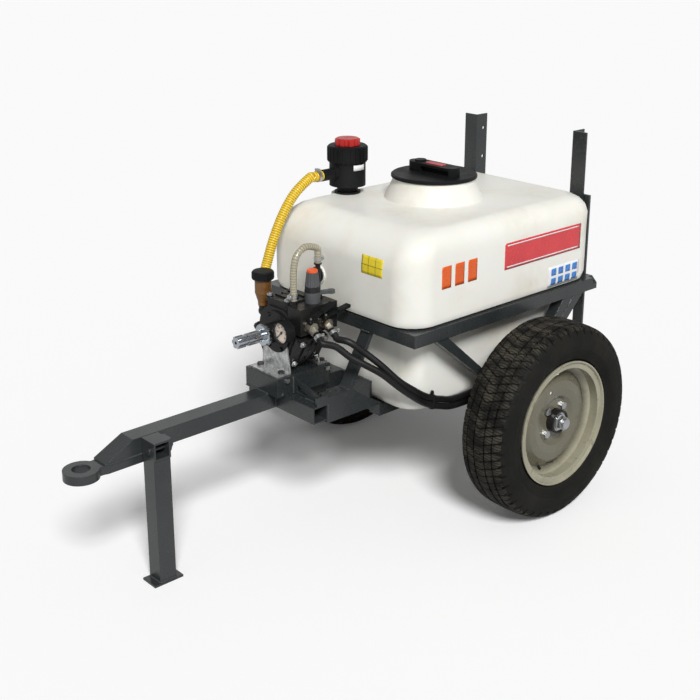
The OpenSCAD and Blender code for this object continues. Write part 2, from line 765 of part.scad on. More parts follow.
// Rolled rim with a drop centre and a pressed disc
module rim() {
  flange = [[flange_r, 69.5], [flange_r, 66], [flange_r - 3, 60], [flange_r - 11, 58.5],
    [seat_r - bead_gap, 58.5]];
  back = [[seat_r - rim_t, 62.5], [flange_r - 7.5, 63], [flange_r - 4.5, 69.5]];
  well_r = seat_r - 17;
  disc = [[hub_d / 2 + 0.5, disc_face], [62, disc_face], [75.5, disc_face + 9], [96, disc_face + 13],
    [116, disc_face + 9], [129.5, disc_face - 2], [well_r - rim_t - 4, 18], [well_r - rim_t - 4, 6],
    [well_r - rim_t, 6], [well_r - rim_t, 20], [132, disc_face + 1], [118, disc_face + 13],
    [96, disc_face + 13 + disc_t], [74, disc_face + 9 + disc_t], [62, disc_face + disc_t],
    [hub_d / 2 + 0.5, disc_face + disc_t]];
  difference() {
    turned_x() {
      polygon(concat(flange, [[seat_r - bead_gap, 34], [well_r, well_out], [well_r, -26],
        [seat_r - bead_gap, -36]], flip(flange), flip(back),
        [[seat_r - rim_t, -38], [well_r - rim_t, -28], [well_r - rim_t, well_out + 2],
        [seat_r - rim_t, 36]], back));
      polygon(disc);
    }
    for (a = [45 : 90 : 315]) rotate([a, 0, 0]) {
      translate([0, 0, wheel_bolt_circle / 2]) rod_x(wheel_bolt_d + 2 * fit, 60);
      rotate([45, 0, 0]) translate([8, -21, well_r - rim_t - 14]) cube([30, 42, 14]);
    }
    rotate([20, 0, 0]) translate([0, 0, 100]) rod_x(10, 60);
    rotate([valve_turn, 0, 0]) translate([well_out - 2, 0, well_r - 2 * rim_t])
      rotate([0, valve_lean, 0]) {
        cylinder(d = valve_d, h = 40);
        translate([0, 0, -24]) cylinder(d = valve_d + 3, h = 24.5);
      }
  }
}

disc_face = mount_out;
well_out = 20;
hub_flange_t = 10;
valve_d = 8;
valve_turn = 160;
valve_lean = 60;

// Hub barrel with its flange, bored for a bearing at each end
module hub() {
  depth = bearing_w + seat_in;
  rotate([0, 90, 0]) difference() {
    union() {
      translate([0, 0, hub_in]) cylinder(d = hub_d, h = hub_out - hub_in, $fn = 96);
      translate([0, 0, mount_out - hub_flange_t]) cylinder(d = hub_flange_d, h = hub_flange_t, $fn = 96);
    }
    translate([0, 0, hub_in - past]) cylinder(d = bearing_od, h = depth + past);
    translate([0, 0, hub_out - depth]) cylinder(d = bearing_od, h = depth + past);
    translate([0, 0, hub_in]) cylinder(d = bearing_od - 8, h = hub_out - hub_in);
    for (a = [45 : 90 : 315]) rotate([0, 0, a])
      translate([wheel_bolt_circle / 2, 0, 0]) cylinder(d = wheel_bolt_d + 2 * fit, h = 60);
  }
}

module wheel_bolts() {
  face = disc_face + disc_t;
  for (a = [45 : 90 : 315]) rotate([a, 0, 0])
    translate([face, 0, wheel_bolt_circle / 2]) rotate([0, 90, 0])
    hex_bolt(wheel_bolt_d, disc_t + hub_flange_t + 4);
}

module bearings() {
  for (a = [hub_in + seat_in, hub_out - seat_in - bearing_w])
    translate([a, 0, 0]) rotate([0, 90, 0]) difference() {
      cylinder(d = bearing_od, h = bearing_w);
      translate([0, 0, -past]) cylinder(d = spindle_d + 2 * fit, h = bearing_w + 2 * past);
    }
}

// Places a wheel's part on the right or left spindle
module on_right() {
  at_axle() translate([wheel_x, 0, axle_z]) children();
}

module on_left() {
  mirror([1, 0, 0]) on_right() children();
}

module tyre_right() color(rubber_black) on_right() tyre();
module tyre_left() color(rubber_black) on_left() tyre();
module rim_right() color(rim_cream) on_right() rim();
module rim_left() color(rim_cream) on_left() rim();
module hub_right() color(rim_cream) on_right() hub();
module hub_left() color(rim_cream) on_left() hub();
module wheel_bolts_right() color(zinc) on_right() wheel_bolts();
module wheel_bolts_left() color(zinc) on_left() wheel_bolts();
module bearings_right() color(zinc) on_right() bearings();
module bearings_left() color(zinc) on_left() bearings();

// Rubber-covered valve stem through the rim
module tyre_valve() {
  rotate([valve_turn, 0, 0]) translate([well_out - 2, 0, seat_r - 17 - 2 * rim_t])
    rotate([0, valve_lean, 0]) {
      translate([0, 0, -14]) cylinder(d = valve_d - 1, h = 30);
      translate([0, 0, -22]) cylinder(d = valve_d + 1, h = 9);
    }
}

module tyre_valve_right() color(rubber_black) on_right() tyre_valve();
module tyre_valve_left() color(rubber_black) on_left() tyre_valve();

// ---- Tank ----

tank_edge = 24;
tank_edge_low = 25;
tank_crown = 60;
tank_soft = 104;
corner_low = 60;
corner_up = 84;
corner_steps = 5;

// One level of the tank: rectangle with rounded corners, given its four sides
function level(z, x0, x1, y0, y1, r) = [for (c = [[x1 - r, y1 - r, 0], [x0 + r, y1 - r, 90],
    [x0 + r, y0 + r, 180], [x1 - r, y0 + r, 270]], i = [0 : corner_steps])
  [c[0] + r * cos(c[2] + 90 * i / corner_steps), c[1] + r * sin(c[2] + 90 * i / corner_steps), z]];

// Level of the lower body, and of the upper body, drawn in by given amounts; t is the skin's depth
function low_level(z, d, t) = level(z, -tank_low_w / 2 + d + t, tank_low_w / 2 - d - t,
  low_front + d + t, low_rear - d - t, corner_low - t);
function up_level(z, d, soft, t) = level(z, -tank_w / 2 + soft + t, tank_w / 2 - d - t,
  tank_y - tank_l / 2 + soft + t, tank_y + tank_l / 2 - d - t, corner_up - soft / 3 - t);

// How far a rounded edge of radius r stands back at the distance u from its flat
function set_back(u, r) = u < r ? r - sqrt(r * r - (r - u) * (r - u)) : 0;

// Levels from the floor to the top, t inside the outer skin
function tank_levels(t) = let (e = tank_edge_low - t / 2) concat(
  [for (a = [90 : -30 : 0]) low_level(tank_z + t + e * (1 - sin(a)), e * (1 - cos(a)), t)],
  [low_level(hoop_top - 12 + t, 0, t), low_level(hoop_top + t, -5, t),
    up_level(hoop_top + t, 16, 16, t), up_level(hoop_top + t + 6, 5, 5, t),
    up_level(hoop_top + t + tank_edge, 0, 0, t)],
  [for (a = [0 : 15 : 90]) let (u = (tank_soft - t) * (1 - sin(a)))
    up_level(tank_top - t - u, set_back(u, tank_crown - t), set_back(u, tank_soft - t), t)]);

module loft(levels) {
  n = 4 * (corner_steps + 1);
  last = (len(levels) - 1) * n;
  polyhedron([for (l = levels) each l], concat(
    [[for (k = [0 : n - 1]) k]],
    [for (i = [0 : len(levels) - 2]) each band((i + 1) * n, i * n, n)],
    [[for (k = [n - 1 : -1 : 0]) last + k]]), convexity = 6);
}

neck_y = tank_y;
filter_x = -207;
filter_y = -193;
dip_d = 30;
port_x = -61;
port_z = 690;
port_d = 30;

// Hollow moulded tank with its filler neck, the filter's pad and the front port
module tank() {
  color(tank_white) at_axle() difference() {
    union() {
      loft(tank_levels(0));
      translate([0, neck_y, tank_top - tank_wall]) rotate_extrude($fn = 96) polygon([[100, 0],
        [neck_d / 2 + 24, 0], [neck_d / 2 + 24, tank_wall], [neck_d / 2, neck_h - 4],
        [neck_d / 2, tank_wall + neck_h], [100, tank_wall + neck_h]]);
      translate([filter_x, filter_y, tank_top - 24]) cylinder(d = 96, h = 24);
      translate([port_x, tank_y - tank_l / 2 - 5, port_z]) rod_y(52, 8);
    }
    loft(tank_levels(tank_wall));
    translate([0, neck_y, tank_top - 3 * tank_wall])
      cylinder(d = neck_d - 2 * tank_wall, h = neck_h + 4 * tank_wall, $fn = 96);
    translate([filter_x, filter_y, tank_top - 2 * tank_wall]) cylinder(d = dip_d + 1, h = 4 * tank_wall);
    translate([port_x, tank_y - tank_l / 2 - 10, port_z]) rod_y(port_d, 4 * tank_wall);
  }
}

neck_top = tank_top + neck_h;
basket_rim_t = 2;
basket_d = 202;
basket_h = 170;
lid_z = neck_top + basket_rim_t + face_gap;
lid_d = 253;
lid_t = 9;
grip_l = 185;
grip_w = 52;
grip_h = 27;

// Basket strainer that hangs in the filler neck
module strainer_basket() {
  color(plastic_grey) at_axle() translate([0, neck_y, neck_top]) difference() {
    union() {
      cylinder(d = neck_d - 2, h = basket_rim_t, $fn = 96);
      translate([0, 0, -basket_h]) cylinder(d = basket_d, h = basket_h, $fn = 96);
    }
    translate([0, 0, -basket_h + 3]) cylinder(d = basket_d - 6, h = basket_h + 10, $fn = 96);
    for (a = [0 : 30 : 330]) rotate([0, 0, a])
      translate([0, -9, -basket_h + 20]) cube([basket_d, 18, basket_h - 60]);
    for (a = [0 : 60 : 300]) rotate([0, 0, a])
      translate([60, 0, -basket_h - past]) cylinder(d = 36, h = 10);
  }
}

// Lift-off lid with a bar grip
module tank_lid() {
  ring_d = basket_d - 8;
  color(cast_black) at_axle() translate([0, neck_y, lid_z]) difference() {
    union() {
      rotate_extrude($fn = 96) polygon([[0, 0], [lid_d / 2, 0], [lid_d / 2, lid_t - 3],
        [lid_d / 2 - 4, lid_t], [0, lid_t]]);
      translate([0, 0, -14]) cylinder(d = ring_d, h = 15, $fn = 96);
      translate([-grip_l / 2 + grip_w / 2, 0, lid_t]) cylinder(d = grip_w, h = grip_h);
      translate([grip_l / 2 - grip_w / 2, 0, lid_t]) cylinder(d = grip_w, h = grip_h);
      translate([-grip_l / 2 + grip_w / 2, -grip_w / 2, lid_t]) cube([grip_l - grip_w, grip_w, grip_h]);
    }
    translate([0, 0, -14 - past]) cylinder(d = ring_d - 8, h = 14 + past, $fn = 96);
    for (s = [-1, 1]) translate([18, s * (grip_w / 2 + 3), lid_t + 3])
      translate([-50, -14, 0]) cube([110, 28, grip_h - 11]);
    translate([breather_x, 0, -past]) cylinder(d = 16, h = lid_t + grip_h + 2 * past);
  }
}

breather_x = -56;

// Breather pressed into the lid's grip
module lid_breather() {
  color(signal_red) at_axle() translate([breather_x, neck_y, lid_z]) {
    translate([0, 0, lid_t + grip_h]) cylinder(d = 34, h = 5);
    difference() {
      cylinder(d = 16, h = lid_t + grip_h);
      translate([0, 0, -past]) cylinder(d = 8, h = lid_t + grip_h);
    }
  }
}

module tank_port_plug() {
  y0 = tank_y - tank_l / 2 - 5;
  color(cast_black) at_axle() translate([port_x, y0, port_z]) {
    translate([0, -8, 0]) rod_y(45, 8);
    translate([0, -13, 0]) rotate([-90, 30, 0]) cylinder(d = 26, h = 6, $fn = 6);
    rod_y(port_d, 18);
  }
}

// ---- Suction filter on the tank ----

filter_base_z = tank_top;
cup_z = filter_base_z + 24;
cup_d = 108;
cup_h = 72;
cup_wall = 5;
cup_top = cup_z + cup_h;
collar_h = 48;
collar_d = 121;
suction_z = 929;
suction_x = -202;
barb_y = -300;
suction_sides = 8;
hose_sides = 10;
barb_play = 0.6;

// Largest barb that fits the polygonal bore of a hose
function barb_d(bore, n) = bore * cos(180 / n) - barb_play;

// Spigot with a butting flange and two barbs, along +Z from the flange's face
module spigot(bore, od, n, l) {
  d = barb_d(bore, n);
  difference() {
    union() {
      translate([0, 0, -4]) cylinder(d = od, h = 4);
      cylinder(d = d - 1, h = l);
      for (z = [l / 3, 2 * l / 3]) translate([0, 0, z]) cylinder(d1 = d, d2 = d - 1, h = l / 5);
    }
    translate([0, 0, -5]) cylinder(d = d - 4, h = l + 6);
  }
}

// Foot and cup of the suction filter with its outlet towards the front
module filter_body() {
  color(cast_black) at_axle() difference() {
    union() {
      translate([filter_x, filter_y, filter_base_z]) {
        cylinder(d = 78, h = 6);
        cylinder(d = 62, h = 26);
        translate([0, 0, cup_z - filter_base_z]) cylinder(d = cup_d, h = cup_h, $fn = 64);
      }
      translate([suction_x, filter_y - cup_d / 2 + 6, suction_z]) rotate([90, 0, 0]) {
        cylinder(d = 38, h = 18);
        cylinder(d = 34, h = -barb_y + filter_y - cup_d / 2 + 6);
      }
      translate([suction_x, barb_y, suction_z]) rotate([90, 0, 0])
        spigot(suction_bore, suction_d + 4, suction_sides, 30);
    }
    translate([filter_x, filter_y, cup_z + 8]) cylinder(d = cup_d - 2 * cup_wall, h = cup_h, $fn = 64);
    translate([filter_x, filter_y, filter_base_z - past]) cylinder(d = dip_d - 6, h = cup_h);
    translate([suction_x, filter_y - cup_d / 2 + 12, suction_z]) rotate([90, 0, 0])
      cylinder(d = barb_d(suction_bore, suction_sides) - 4, h = 100);
  }
}

// Ribbed union nut that closes the cup, with a bore for the shut-off knob's stem
module filter_collar() {
  rib_n = 24;
  color(cast_black) at_axle() translate([filter_x, filter_y, cup_top]) difference() {
    union() {
      cylinder(d = collar_d - 4, h = collar_h - 3, $fn = 96);
      translate([0, 0, collar_h - 3]) cylinder(d1 = collar_d - 4, d2 = collar_d - 12, h = 3, $fn = 96);
      for (i = [0 : rib_n - 1]) rotate([0, 0, 360 * i / rib_n])
        translate([collar_d / 2 - 6, -3, 3]) cube([6, 6, collar_h - 8]);
    }
    translate([0, 0, -past]) cylinder(d = cup_d - 2 * cup_wall, h = collar_h - 9);
    translate([0, 0, -past]) cylinder(d = knob_stem_d + 2 * fit, h = collar_h + 2 * past);
  }
}

knob_stem_d = 20;
filter_knob_d = 76;

// Notched shut-off knob on the filter
module filter_knob() {
  color(signal_red) at_axle() translate([filter_x, filter_y, cup_top + collar_h + face_gap]) difference() {
    union() {
      translate([0, 0, -16]) cylinder(d = knob_stem_d, h = 17);
      cylinder(d = filter_knob_d, h = 16, $fn = 64);
      translate([0, 0, 16]) cylinder(d1 = filter_knob_d - 2, d2 = filter_knob_d - 12, h = 4, $fn = 64);
    }
    for (i = [0 : 7]) rotate([0, 0, 45 * i])
      translate([filter_knob_d / 2 + 2, 0, -past]) cylinder(d = 16, h = 30);
  }
}

// Cylindrical screen inside the cup
module filter_screen() {
  h = cup_h + 20;
  color(zinc) at_axle() translate([filter_x, filter_y, cup_z + 8]) difference() {
    cylinder(d = 66, h = h);
    translate([0, 0, -past]) cylinder(d = 62, h = h + 2 * past);
    for (a = [0 : 45 : 315]) rotate([0, 0, a]) translate([20, -8, 8]) cube([40, 16, h - 16]);
  }
}

// Pipe from the filter down to the tank's floor
module dip_tube() {
  z0 = tank_z + tank_wall + 14;
  color(cast_black) at_axle() translate([filter_x, filter_y, z0]) difference() {
    cylinder(d = dip_d, h = filter_base_z - z0);
    translate([0, 0, -past]) cylinder(d = dip_d - 6, h = filter_base_z - z0 + 2 * past);
  }
}

// ---- Hoses ----

elbow_x = -124;
elbow_y = -545;
elbow_z = 600;
suction_end_z = elbow_z + 22;

// Route of the suction hose: filter outlet, over the tank's shoulder, down to the pump
suction_from = suction_x + bar_offset;
suction_route = [[suction_from, barb_y, suction_z], [suction_from, barb_y - 32, suction_z],
  [suction_from, barb_y - 44, suction_z], [-153, -403, 892], [-150, -450, 838], [-146, -488, 775],
  [-139, -517, 718], [-129, -538, 684], [elbow_x, elbow_y, suction_end_z + 42],
  [elbow_x, elbow_y, suction_end_z + 31], [elbow_x, elbow_y, suction_end_z]];

module suction_hose() {
  count = 2 * suction_ribs;
  path = even(smooth(suction_route, 6), count);
  r = suction_d / 2;
  radii = [for (i = [0 : count]) i % 2 == 0 ? r : r - rib_depth];
  color([0.78, 0.66, 0.16]) at_bar() hose(path, [1, 0, 0], radii, suction_bore, suction_sides, 4);
}

// Delivery outlets: the valves' spigots point out and down by this angle
outlet_drop = 35;
outlet_dir = [cos(outlet_drop), 0, -sin(outlet_drop)];
valve_x = 118;
valve_z = 600;
valve_near_y = -575;
valve_far_y = -522;
outlet_reach = 24;
near_end = [valve_x - bar_offset, valve_near_y, valve_z] + outlet_reach * outlet_dir;
far_end = [valve_x - bar_offset, valve_far_y, valve_z] + outlet_reach * outlet_dir;
outlet_in_y = outlet_y - 20;
beside_tank = tank_low_w / 2 + 11;

// Routes of the delivery hoses: past the tank's corner and along its side to the outlets
function to_outlet(x) = [[x, outlet_in_y - 36, outlet_z], [x, outlet_in_y - 24, outlet_z],
  [x, outlet_in_y, outlet_z]];
route_near = concat([near_end, near_end + 24 * outlet_dir, near_end + 34 * outlet_dir,
  [138, -545, 556], [165, -519, 528], [193, -490, 506], [223, -456, 479], [250, -420, 441],
  [beside_tank, -380, 406], [beside_tank, -330, 371], [beside_tank, -269, 345],
  [beside_tank, -190, 329], [beside_tank, 60, 329], [beside_tank + 4, 190, 327]], to_outlet(outlet_x));
route_far = concat([far_end, far_end + 24 * outlet_dir, far_end + 34 * outlet_dir,
  [148, -506, 562], [178, -476, 532], [210, -447, 498], [242, -414, 455], [beside_tank - 2, -382, 427],
  [beside_tank, -330, 392], [beside_tank, -269, 366], [beside_tank, -190, 350],
  [beside_tank, 60, 350], [beside_tank + 16, 170, 345]], to_outlet(outlet_x + outlet_pitch));

module delivery_hoses() {
  color(rubber_black) at_axle() for (r = [route_near, route_far])
    plain_hose(r, [0, 1, 0], delivery_d, delivery_bore, 64, hose_sides);
}

bypass_x = 60;
bypass_y = -586;
reg_z0 = 575;
reg_top = 650;
return_x = 56;
return_y = -496;
return_z = 752;
bypass_route = [[bypass_x, bypass_y, reg_top + 14], [bypass_x, bypass_y, reg_top + 40],
  [bypass_x, bypass_y, reg_top + 52], [60, -585, 745], [60, -575, 785], [59, -545, 805],
  [57, -513, 800], [return_x, return_y, return_z + 38], [return_x, return_y, return_z + 26],
  [return_x, return_y, return_z]];

module bypass_hose() {
  color([0.86, 0.88, 0.88, 0.6]) at_bar()
    plain_hose(bypass_route, [1, 0, 0], bypass_d, bypass_bore, 30, hose_sides);
}

// Worm-drive clip round a hose end, along +Z
module clip(d) {
  difference() {
    cylinder(d = d + 3.2, h = 10);
    translate([0, 0, -past]) cylinder(d = d + 0.6, h = 12);
  }
  translate([-7, d / 2 + 0.8, 0.5]) cube([14, 7, 9]);
  translate([-11, d / 2 + 4.5, 5]) rod_x(6, 4.5);
}

module hose_clamps() {
  d = 8;
  color(zinc) {
    at_bar() {
      translate([suction_from, barb_y - d, suction_z]) rotate([90, 0, 0]) clip(suction_d);
      translate([elbow_x, elbow_y, suction_end_z + d]) clip(suction_d);
      translate([bypass_x, bypass_y, reg_top + 14 + d]) rotate([0, 0, 180]) clip(bypass_d);
      translate([return_x, return_y, return_z + 6]) clip(bypass_d);
    }
    at_axle() {
      for (p = [near_end, far_end])
        translate(p + 7 * outlet_dir) rotate([0, 90 + outlet_drop, 0]) clip(delivery_d);
      for (i = [0, 1]) translate([outlet_x + i * outlet_pitch, outlet_in_y - 7, outlet_z])
        rotate([90, 0, 0]) clip(delivery_d);
    }
  }
}

// Suction elbow at the pump and the two couplings behind the tank
module hose_fittings() {
  color(nickel) {
    at_bar() difference() {
      union() {
        translate([elbow_x, elbow_y, elbow_z]) sphere(d = 34);
        translate([elbow_x, elbow_y, elbow_z]) cylinder(d = 34, h = suction_end_z - elbow_z - 3);
        translate([elbow_x, elbow_y, elbow_z]) rod_x(34, 24);
        translate([elbow_x, elbow_y, suction_end_z])
          spigot(suction_bore, suction_d + 4, suction_sides, 28);
      }
      translate([elbow_x, elbow_y, elbow_z]) cylinder(d = 15, h = 60);
      translate([elbow_x, elbow_y, elbow_z]) rod_x(15, 30);
    }
    at_axle() for (i = [0, 1]) translate([outlet_x + i * outlet_pitch, outlet_in_y, outlet_z])
      rotate([90, 0, 0]) outlet_coupling();
  }
}

// Bulkhead coupling: spigot in front of the plate, hexagon and capped thread behind it
module outlet_coupling() {
  front = outlet_y - outlet_in_y;
  spigot(delivery_bore, delivery_d + 4, hose_sides, 22);
  translate([0, 0, -front]) difference() {
    cylinder(d = 27, h = front - 4, $fn = 6);
    cylinder(d = 8, h = front);
  }
  translate([0, 0, -front - 6]) difference() {
    cylinder(d = outlet_bore, h = 6);
    cylinder(d = 8, h = 7);
  }
  translate([0, 0, -front - 6 - 14]) cylinder(d = 28, h = 14, $fn = 32);
}

// ---- Pump ----

pad_r = 68;
pad_w = 84;
head_turn = [for (i = [0 : head_count - 1]) 90 + 360 * i / head_count];
front_neck_d = 56;
front_cover_d = 118;
front_neck_l = 40;
shaft_bore_l = 60;
journal_d = 30;
oil_x = -87;
oil_y = -575;
boss_z = 596;

// Places a piece that points along +Z on each cylinder's axis, turned round the shaft
module at_heads() {
  for (a = head_turn) translate([0, pump_y, pump_z]) rotate([0, 90 - a, 0]) children();
}

// Cast crankcase: round case, a pad for each head, covers, the oil boss and the suction boss
module pump_crankcase() {
  color(cast_black) at_bar() difference() {
    union() {
      intersection() {
        translate([0, pump_y - case_l / 2, pump_z]) rod_y(case_d, case_l);
        case_core();
      }
      at_heads() translate([-pad_w / 2, -case_l / 2 + 4, 30]) cube([pad_w, case_l - 8, pad_r - 30]);
      translate([0, pump_y - case_l / 2, pump_z]) rotate([90, 0, 0]) {
        cylinder(d = front_cover_d, h = 6, $fn = 64);
        cylinder(d = front_neck_d, h = front_neck_l);
        for (a = [0 : 60 : 300]) rotate([0, 0, a]) translate([front_cover_d / 2 - 8, 0, 6])
          cylinder(d = 12, h = 3.6, $fn = 6);
      }
      translate([0, pump_y + case_l / 2, pump_z]) rod_y(front_cover_d, 10);
      translate([0, pump_y + case_l / 2 + 10, pump_z]) rod_y(62, 8);
      translate([-50, oil_y, boss_z]) rotate([0, 0, 180]) rod_x(30, 36);
      translate([oil_x, oil_y, boss_z]) cylinder(d = 26, h = 18);
      translate([oil_x, oil_y, boss_z]) sphere(d = 30);
      translate([-48, elbow_y, boss_z + 4]) rotate([0, 0, 180]) rod_x(40, -elbow_x - 48 - 24);
    }
    translate([0, pump_y - case_l / 2 - front_neck_l - past, pump_z])
      rod_y(journal_d + 2 * fit, shaft_bore_l + past);
  }
}

// Keeps the round case inside the planes of its three pads
module case_core() {
  difference() {
    translate([0, pump_y, pump_z]) cube([2 * case_d, 2 * case_l, 2 * case_d], center = true);
    at_heads() translate([-case_d, -case_l, pad_r]) cube([2 * case_d, 2 * case_l, case_d]);
  }
}

head_bolt_x = 38;
head_bolt_y = 40;
head_bolt_d = 9;

// Cylinder heads: a spacer on the pad, a valve chest and a ribbed cover
module pump_heads() {
  chest = head_reach - cover_t;
  color(cast_black) at_bar() at_heads() difference() {
    union() {
      translate([-pad_w / 2, -case_l / 2 + 4, pad_r]) cube([pad_w, case_l - 8, chest - pad_r - 2]);
      translate([-head_w / 2 + 6, -case_l / 2 + 6, chest - 3]) cube([head_w - 12, case_l - 12, 4]);
      translate([-head_w / 2, -case_l / 2 + 12, chest]) cube([head_w, case_l - 24, cover_t - 4]);
      translate([-head_w / 2 + 12, -case_l / 2, chest]) cube([head_w - 24, case_l, cover_t - 4]);
      for (x = [-1, 1], y = [-1, 1]) translate([x * head_bolt_x, y * head_bolt_y, chest])
        cylinder(d = 20, h = cover_t - 2);
      for (y = [-22, 0, 22]) translate([-head_w / 2 + 14, y - 3, chest]) cube([head_w - 28, 6, cover_t]);
      translate([0, 0, chest]) cylinder(d = 44, h = cover_t - 1);
    }
    for (x = [-1, 1], y = [-1, 1]) translate([x * head_bolt_x, y * head_bolt_y, pad_r - past])
      cylinder(d = head_bolt_d, h = cover_t + chest);
  }
}

module head_bolts() {
  top = head_reach - 2;
  color(zinc) at_bar() at_heads() for (x = [-1, 1], y = [-1, 1])
    translate([x * head_bolt_x, y * head_bolt_y, top]) {
      hex_bolt(head_bolt_d, top - pad_r);
      translate([0, 0, 0.65 * head_bolt_d]) cylinder(d = head_bolt_d, h = 2);
    }
}

// Splined drive shaft with its flange and the journal inside the crankcase
module pto_shaft() {
  face_y = pump_y - case_l / 2 - front_neck_l - face_gap;
  flange_l = 11;
  spline_l = pto_l - flange_l;
  root_d = pto_d - 5.6;
  color(zinc) at_bar() translate([0, face_y, pump_z]) rotate([90, 0, 0]) difference() {
    union() {
      translate([0, 0, -shaft_bore_l + 4]) cylinder(d = journal_d, h = shaft_bore_l);
      cylinder(d = pto_flange_d, h = flange_l - 3, $fn = 64);
      translate([0, 0, flange_l - 3]) cylinder(d1 = pto_flange_d, d2 = pto_flange_d - 6, h = 3, $fn = 64);
      cylinder(d = root_d, h = flange_l + spline_l);
      intersection() {
        cylinder(d = pto_d, h = flange_l + spline_l, $fn = 64);
        for (i = [0 : pto_splines - 1]) rotate([0, 0, 360 * i / pto_splines])
          translate([0, -pto_d / 8, flange_l - 1]) cube([pto_d, pto_d / 4, spline_l + 1]);
      }
    }
    translate([0, 0, flange_l + spline_l - 34]) difference() {
      cylinder(d = pto_d + 4, h = 8);
      translate([0, 0, -past]) cylinder(d = root_d, h = 10);
    }
    translate([0, 0, flange_l + spline_l - 12]) cylinder(d = 9, h = 13);
  }
}

pump_foot_l = 48;
pump_foot_w = 120;
pump_foot_t = 4;

// Folded feet in front of and behind the crankcase, scalloped round its covers
module pump_feet() {
  color(zinc) at_bar() {
    pump_foot(pump_y - case_l / 2, -1, pump_foot_l);
    pump_foot(pump_y + case_l / 2, 1, deck_y + deck_l - pump_y - case_l / 2 - 2);
  }
}

module pump_foot(y, dir, l) {
  translate([0, y, 0]) mirror([0, dir < 0 ? 1 : 0, 0]) difference() {
    union() {
      translate([-pump_foot_w / 2, 0, deck_top]) cube([pump_foot_w, l, pump_foot_t]);
      translate([0, pump_foot_t, 0]) rotate([90, 0, 0]) linear_extrude(pump_foot_t)
        polygon([[-pump_foot_w / 2, deck_top], [pump_foot_w / 2, deck_top],
          [pump_foot_w / 2, deck_top + 8], [pump_foot_w / 2 - 10, pump_z - 30],
          [-pump_foot_w / 2 + 10, pump_z - 30], [-pump_foot_w / 2, deck_top + 8]]);
    }
    translate([0, -past, pump_z]) rod_y(front_cover_d + 1, pump_foot_t + 2 * past);
    for (x = [-foot_bolt_x, foot_bolt_x])
      translate([x, foot_bolt_off, deck_top - past])
        cylinder(d = foot_bolt_d + play, h = pump_foot_t + 2 * past);
  }
}

foot_bolt_off = 22;
side_bolt_z = 444;
side_bolt_d = 8;

// Bolts through the feet and the platform, with nuts below, and the platform's side bolts
module foot_bolts() {
  grip = pump_foot_t + deck_t;
  color(zinc) at_bar() {
    for (y = foot_bolt_y, x = [-foot_bolt_x, foot_bolt_x])
      translate([x, y, deck_top + pump_foot_t]) {
        hex_bolt(foot_bolt_d, grip + 11);
        translate([0, 0, -grip - 8]) cylinder(d = 1.9 * foot_bolt_d, h = 8, $fn = 6);
      }
    for (s = [-1, 1], y = foot_bolt_y)
      translate([s * deck_w / 2, y, side_bolt_z]) rotate([0, s * 90, 0]) hex_bolt(side_bolt_d, deck_t);
  }
}

foot_bolt_y = [pump_y - case_l / 2 - foot_bolt_off, pump_y + case_l / 2 + foot_bolt_off];
cap_z = 690;
cap_gap = face_gap;

// Oil reservoir on the crankcase's boss, open at the top under its cap
module oil_reservoir() {
  z0 = boss_z + 18;
  h = cap_z - z0;
  color([0.72, 0.50, 0.16]) at_bar() translate([oil_x, oil_y, z0]) difference() {
    rotate_extrude() polygon([[0, 0], [15, 0], [15, 8], [23.5, 36], [23.5, h], [0, h]]);
    translate([0, 0, 12]) cylinder(d1 = 26, d2 = 41, h = 26);
    translate([0, 0, 37.9]) cylinder(d = 41, h = h);
  }
}

// Screw cap of the reservoir with a gripped rim
module oil_cap() {
  h = 20;
  color(cast_black) at_bar() translate([oil_x, oil_y, cap_z + cap_gap]) difference() {
    union() {
      translate([0, 0, -8]) cylinder(d = 40, h = 9);
      cylinder(d = 61, h = h);
      translate([0, 0, h]) cylinder(d1 = 61, d2 = 55, h = 3);
      for (i = [0 : 15]) rotate([0, 0, 22.5 * i]) translate([28, -3, 2]) cube([3.5, 6, h - 4]);
    }
    translate([0, 0, -8 - past]) cylinder(d = 34, h = 7);
  }
}

// ---- Regulator, gauge and valves ----

reg_x = [50, 105];
reg_y = [-600, -470];
knob_x = 71;
knob_y = -529;
reg_stem_d = 16;
lever_h = 35;
ring_h = 8;
gauge_x = 64;
gauge_y = -640;
gauge_z = 584;
gauge_depth = 30;
gauge_stem = [70, 592];

// Brass block on the crankcase: regulator stem, bypass barb, return elbow and gauge boss
module regulator_body() {
  stem_top = reg_top + face_gap + lever_h + face_gap + knob_h + 1;
  color(cast_black) at_bar() difference() {
    union() {
      translate([reg_x[0], reg_y[0], reg_z0])
        cube([reg_x[1] - reg_x[0], reg_y[1] - reg_y[0], reg_top - reg_z0]);
      translate([knob_x, knob_y, reg_top - past]) cylinder(d = reg_stem_d, h = stem_top - reg_top + past);
      translate([bypass_x, bypass_y, reg_top]) {
        cylinder(d = 22, h = 9, $fn = 6);
        translate([0, 0, 14]) spigot(bypass_bore, bypass_d + 4, hose_sides, 24);
        cylinder(d = 16, h = 12);
      }
      translate([return_x, return_y, reg_top]) {
        cylinder(d = 24, h = 9, $fn = 6);
        cylinder(d = 14, h = return_z - reg_top - 2);
        translate([0, 0, return_z - reg_top])
          spigot(bypass_bore, bypass_d + 3, hose_sides, 24);
      }
      translate([gauge_stem[0], reg_y[0] - 4, gauge_stem[1]]) rod_y(20, 6);
    }
    translate([0, pump_y - case_l / 2, pump_z]) rod_y(case_d, case_l);
    translate([0, pump_y + case_l / 2 - past, pump_z]) rod_y(front_cover_d, 12);
    for (y = [valve_near_y, valve_far_y]) translate([reg_x[1] - 12, y, valve_z]) rod_x(18, 13);
  }
}

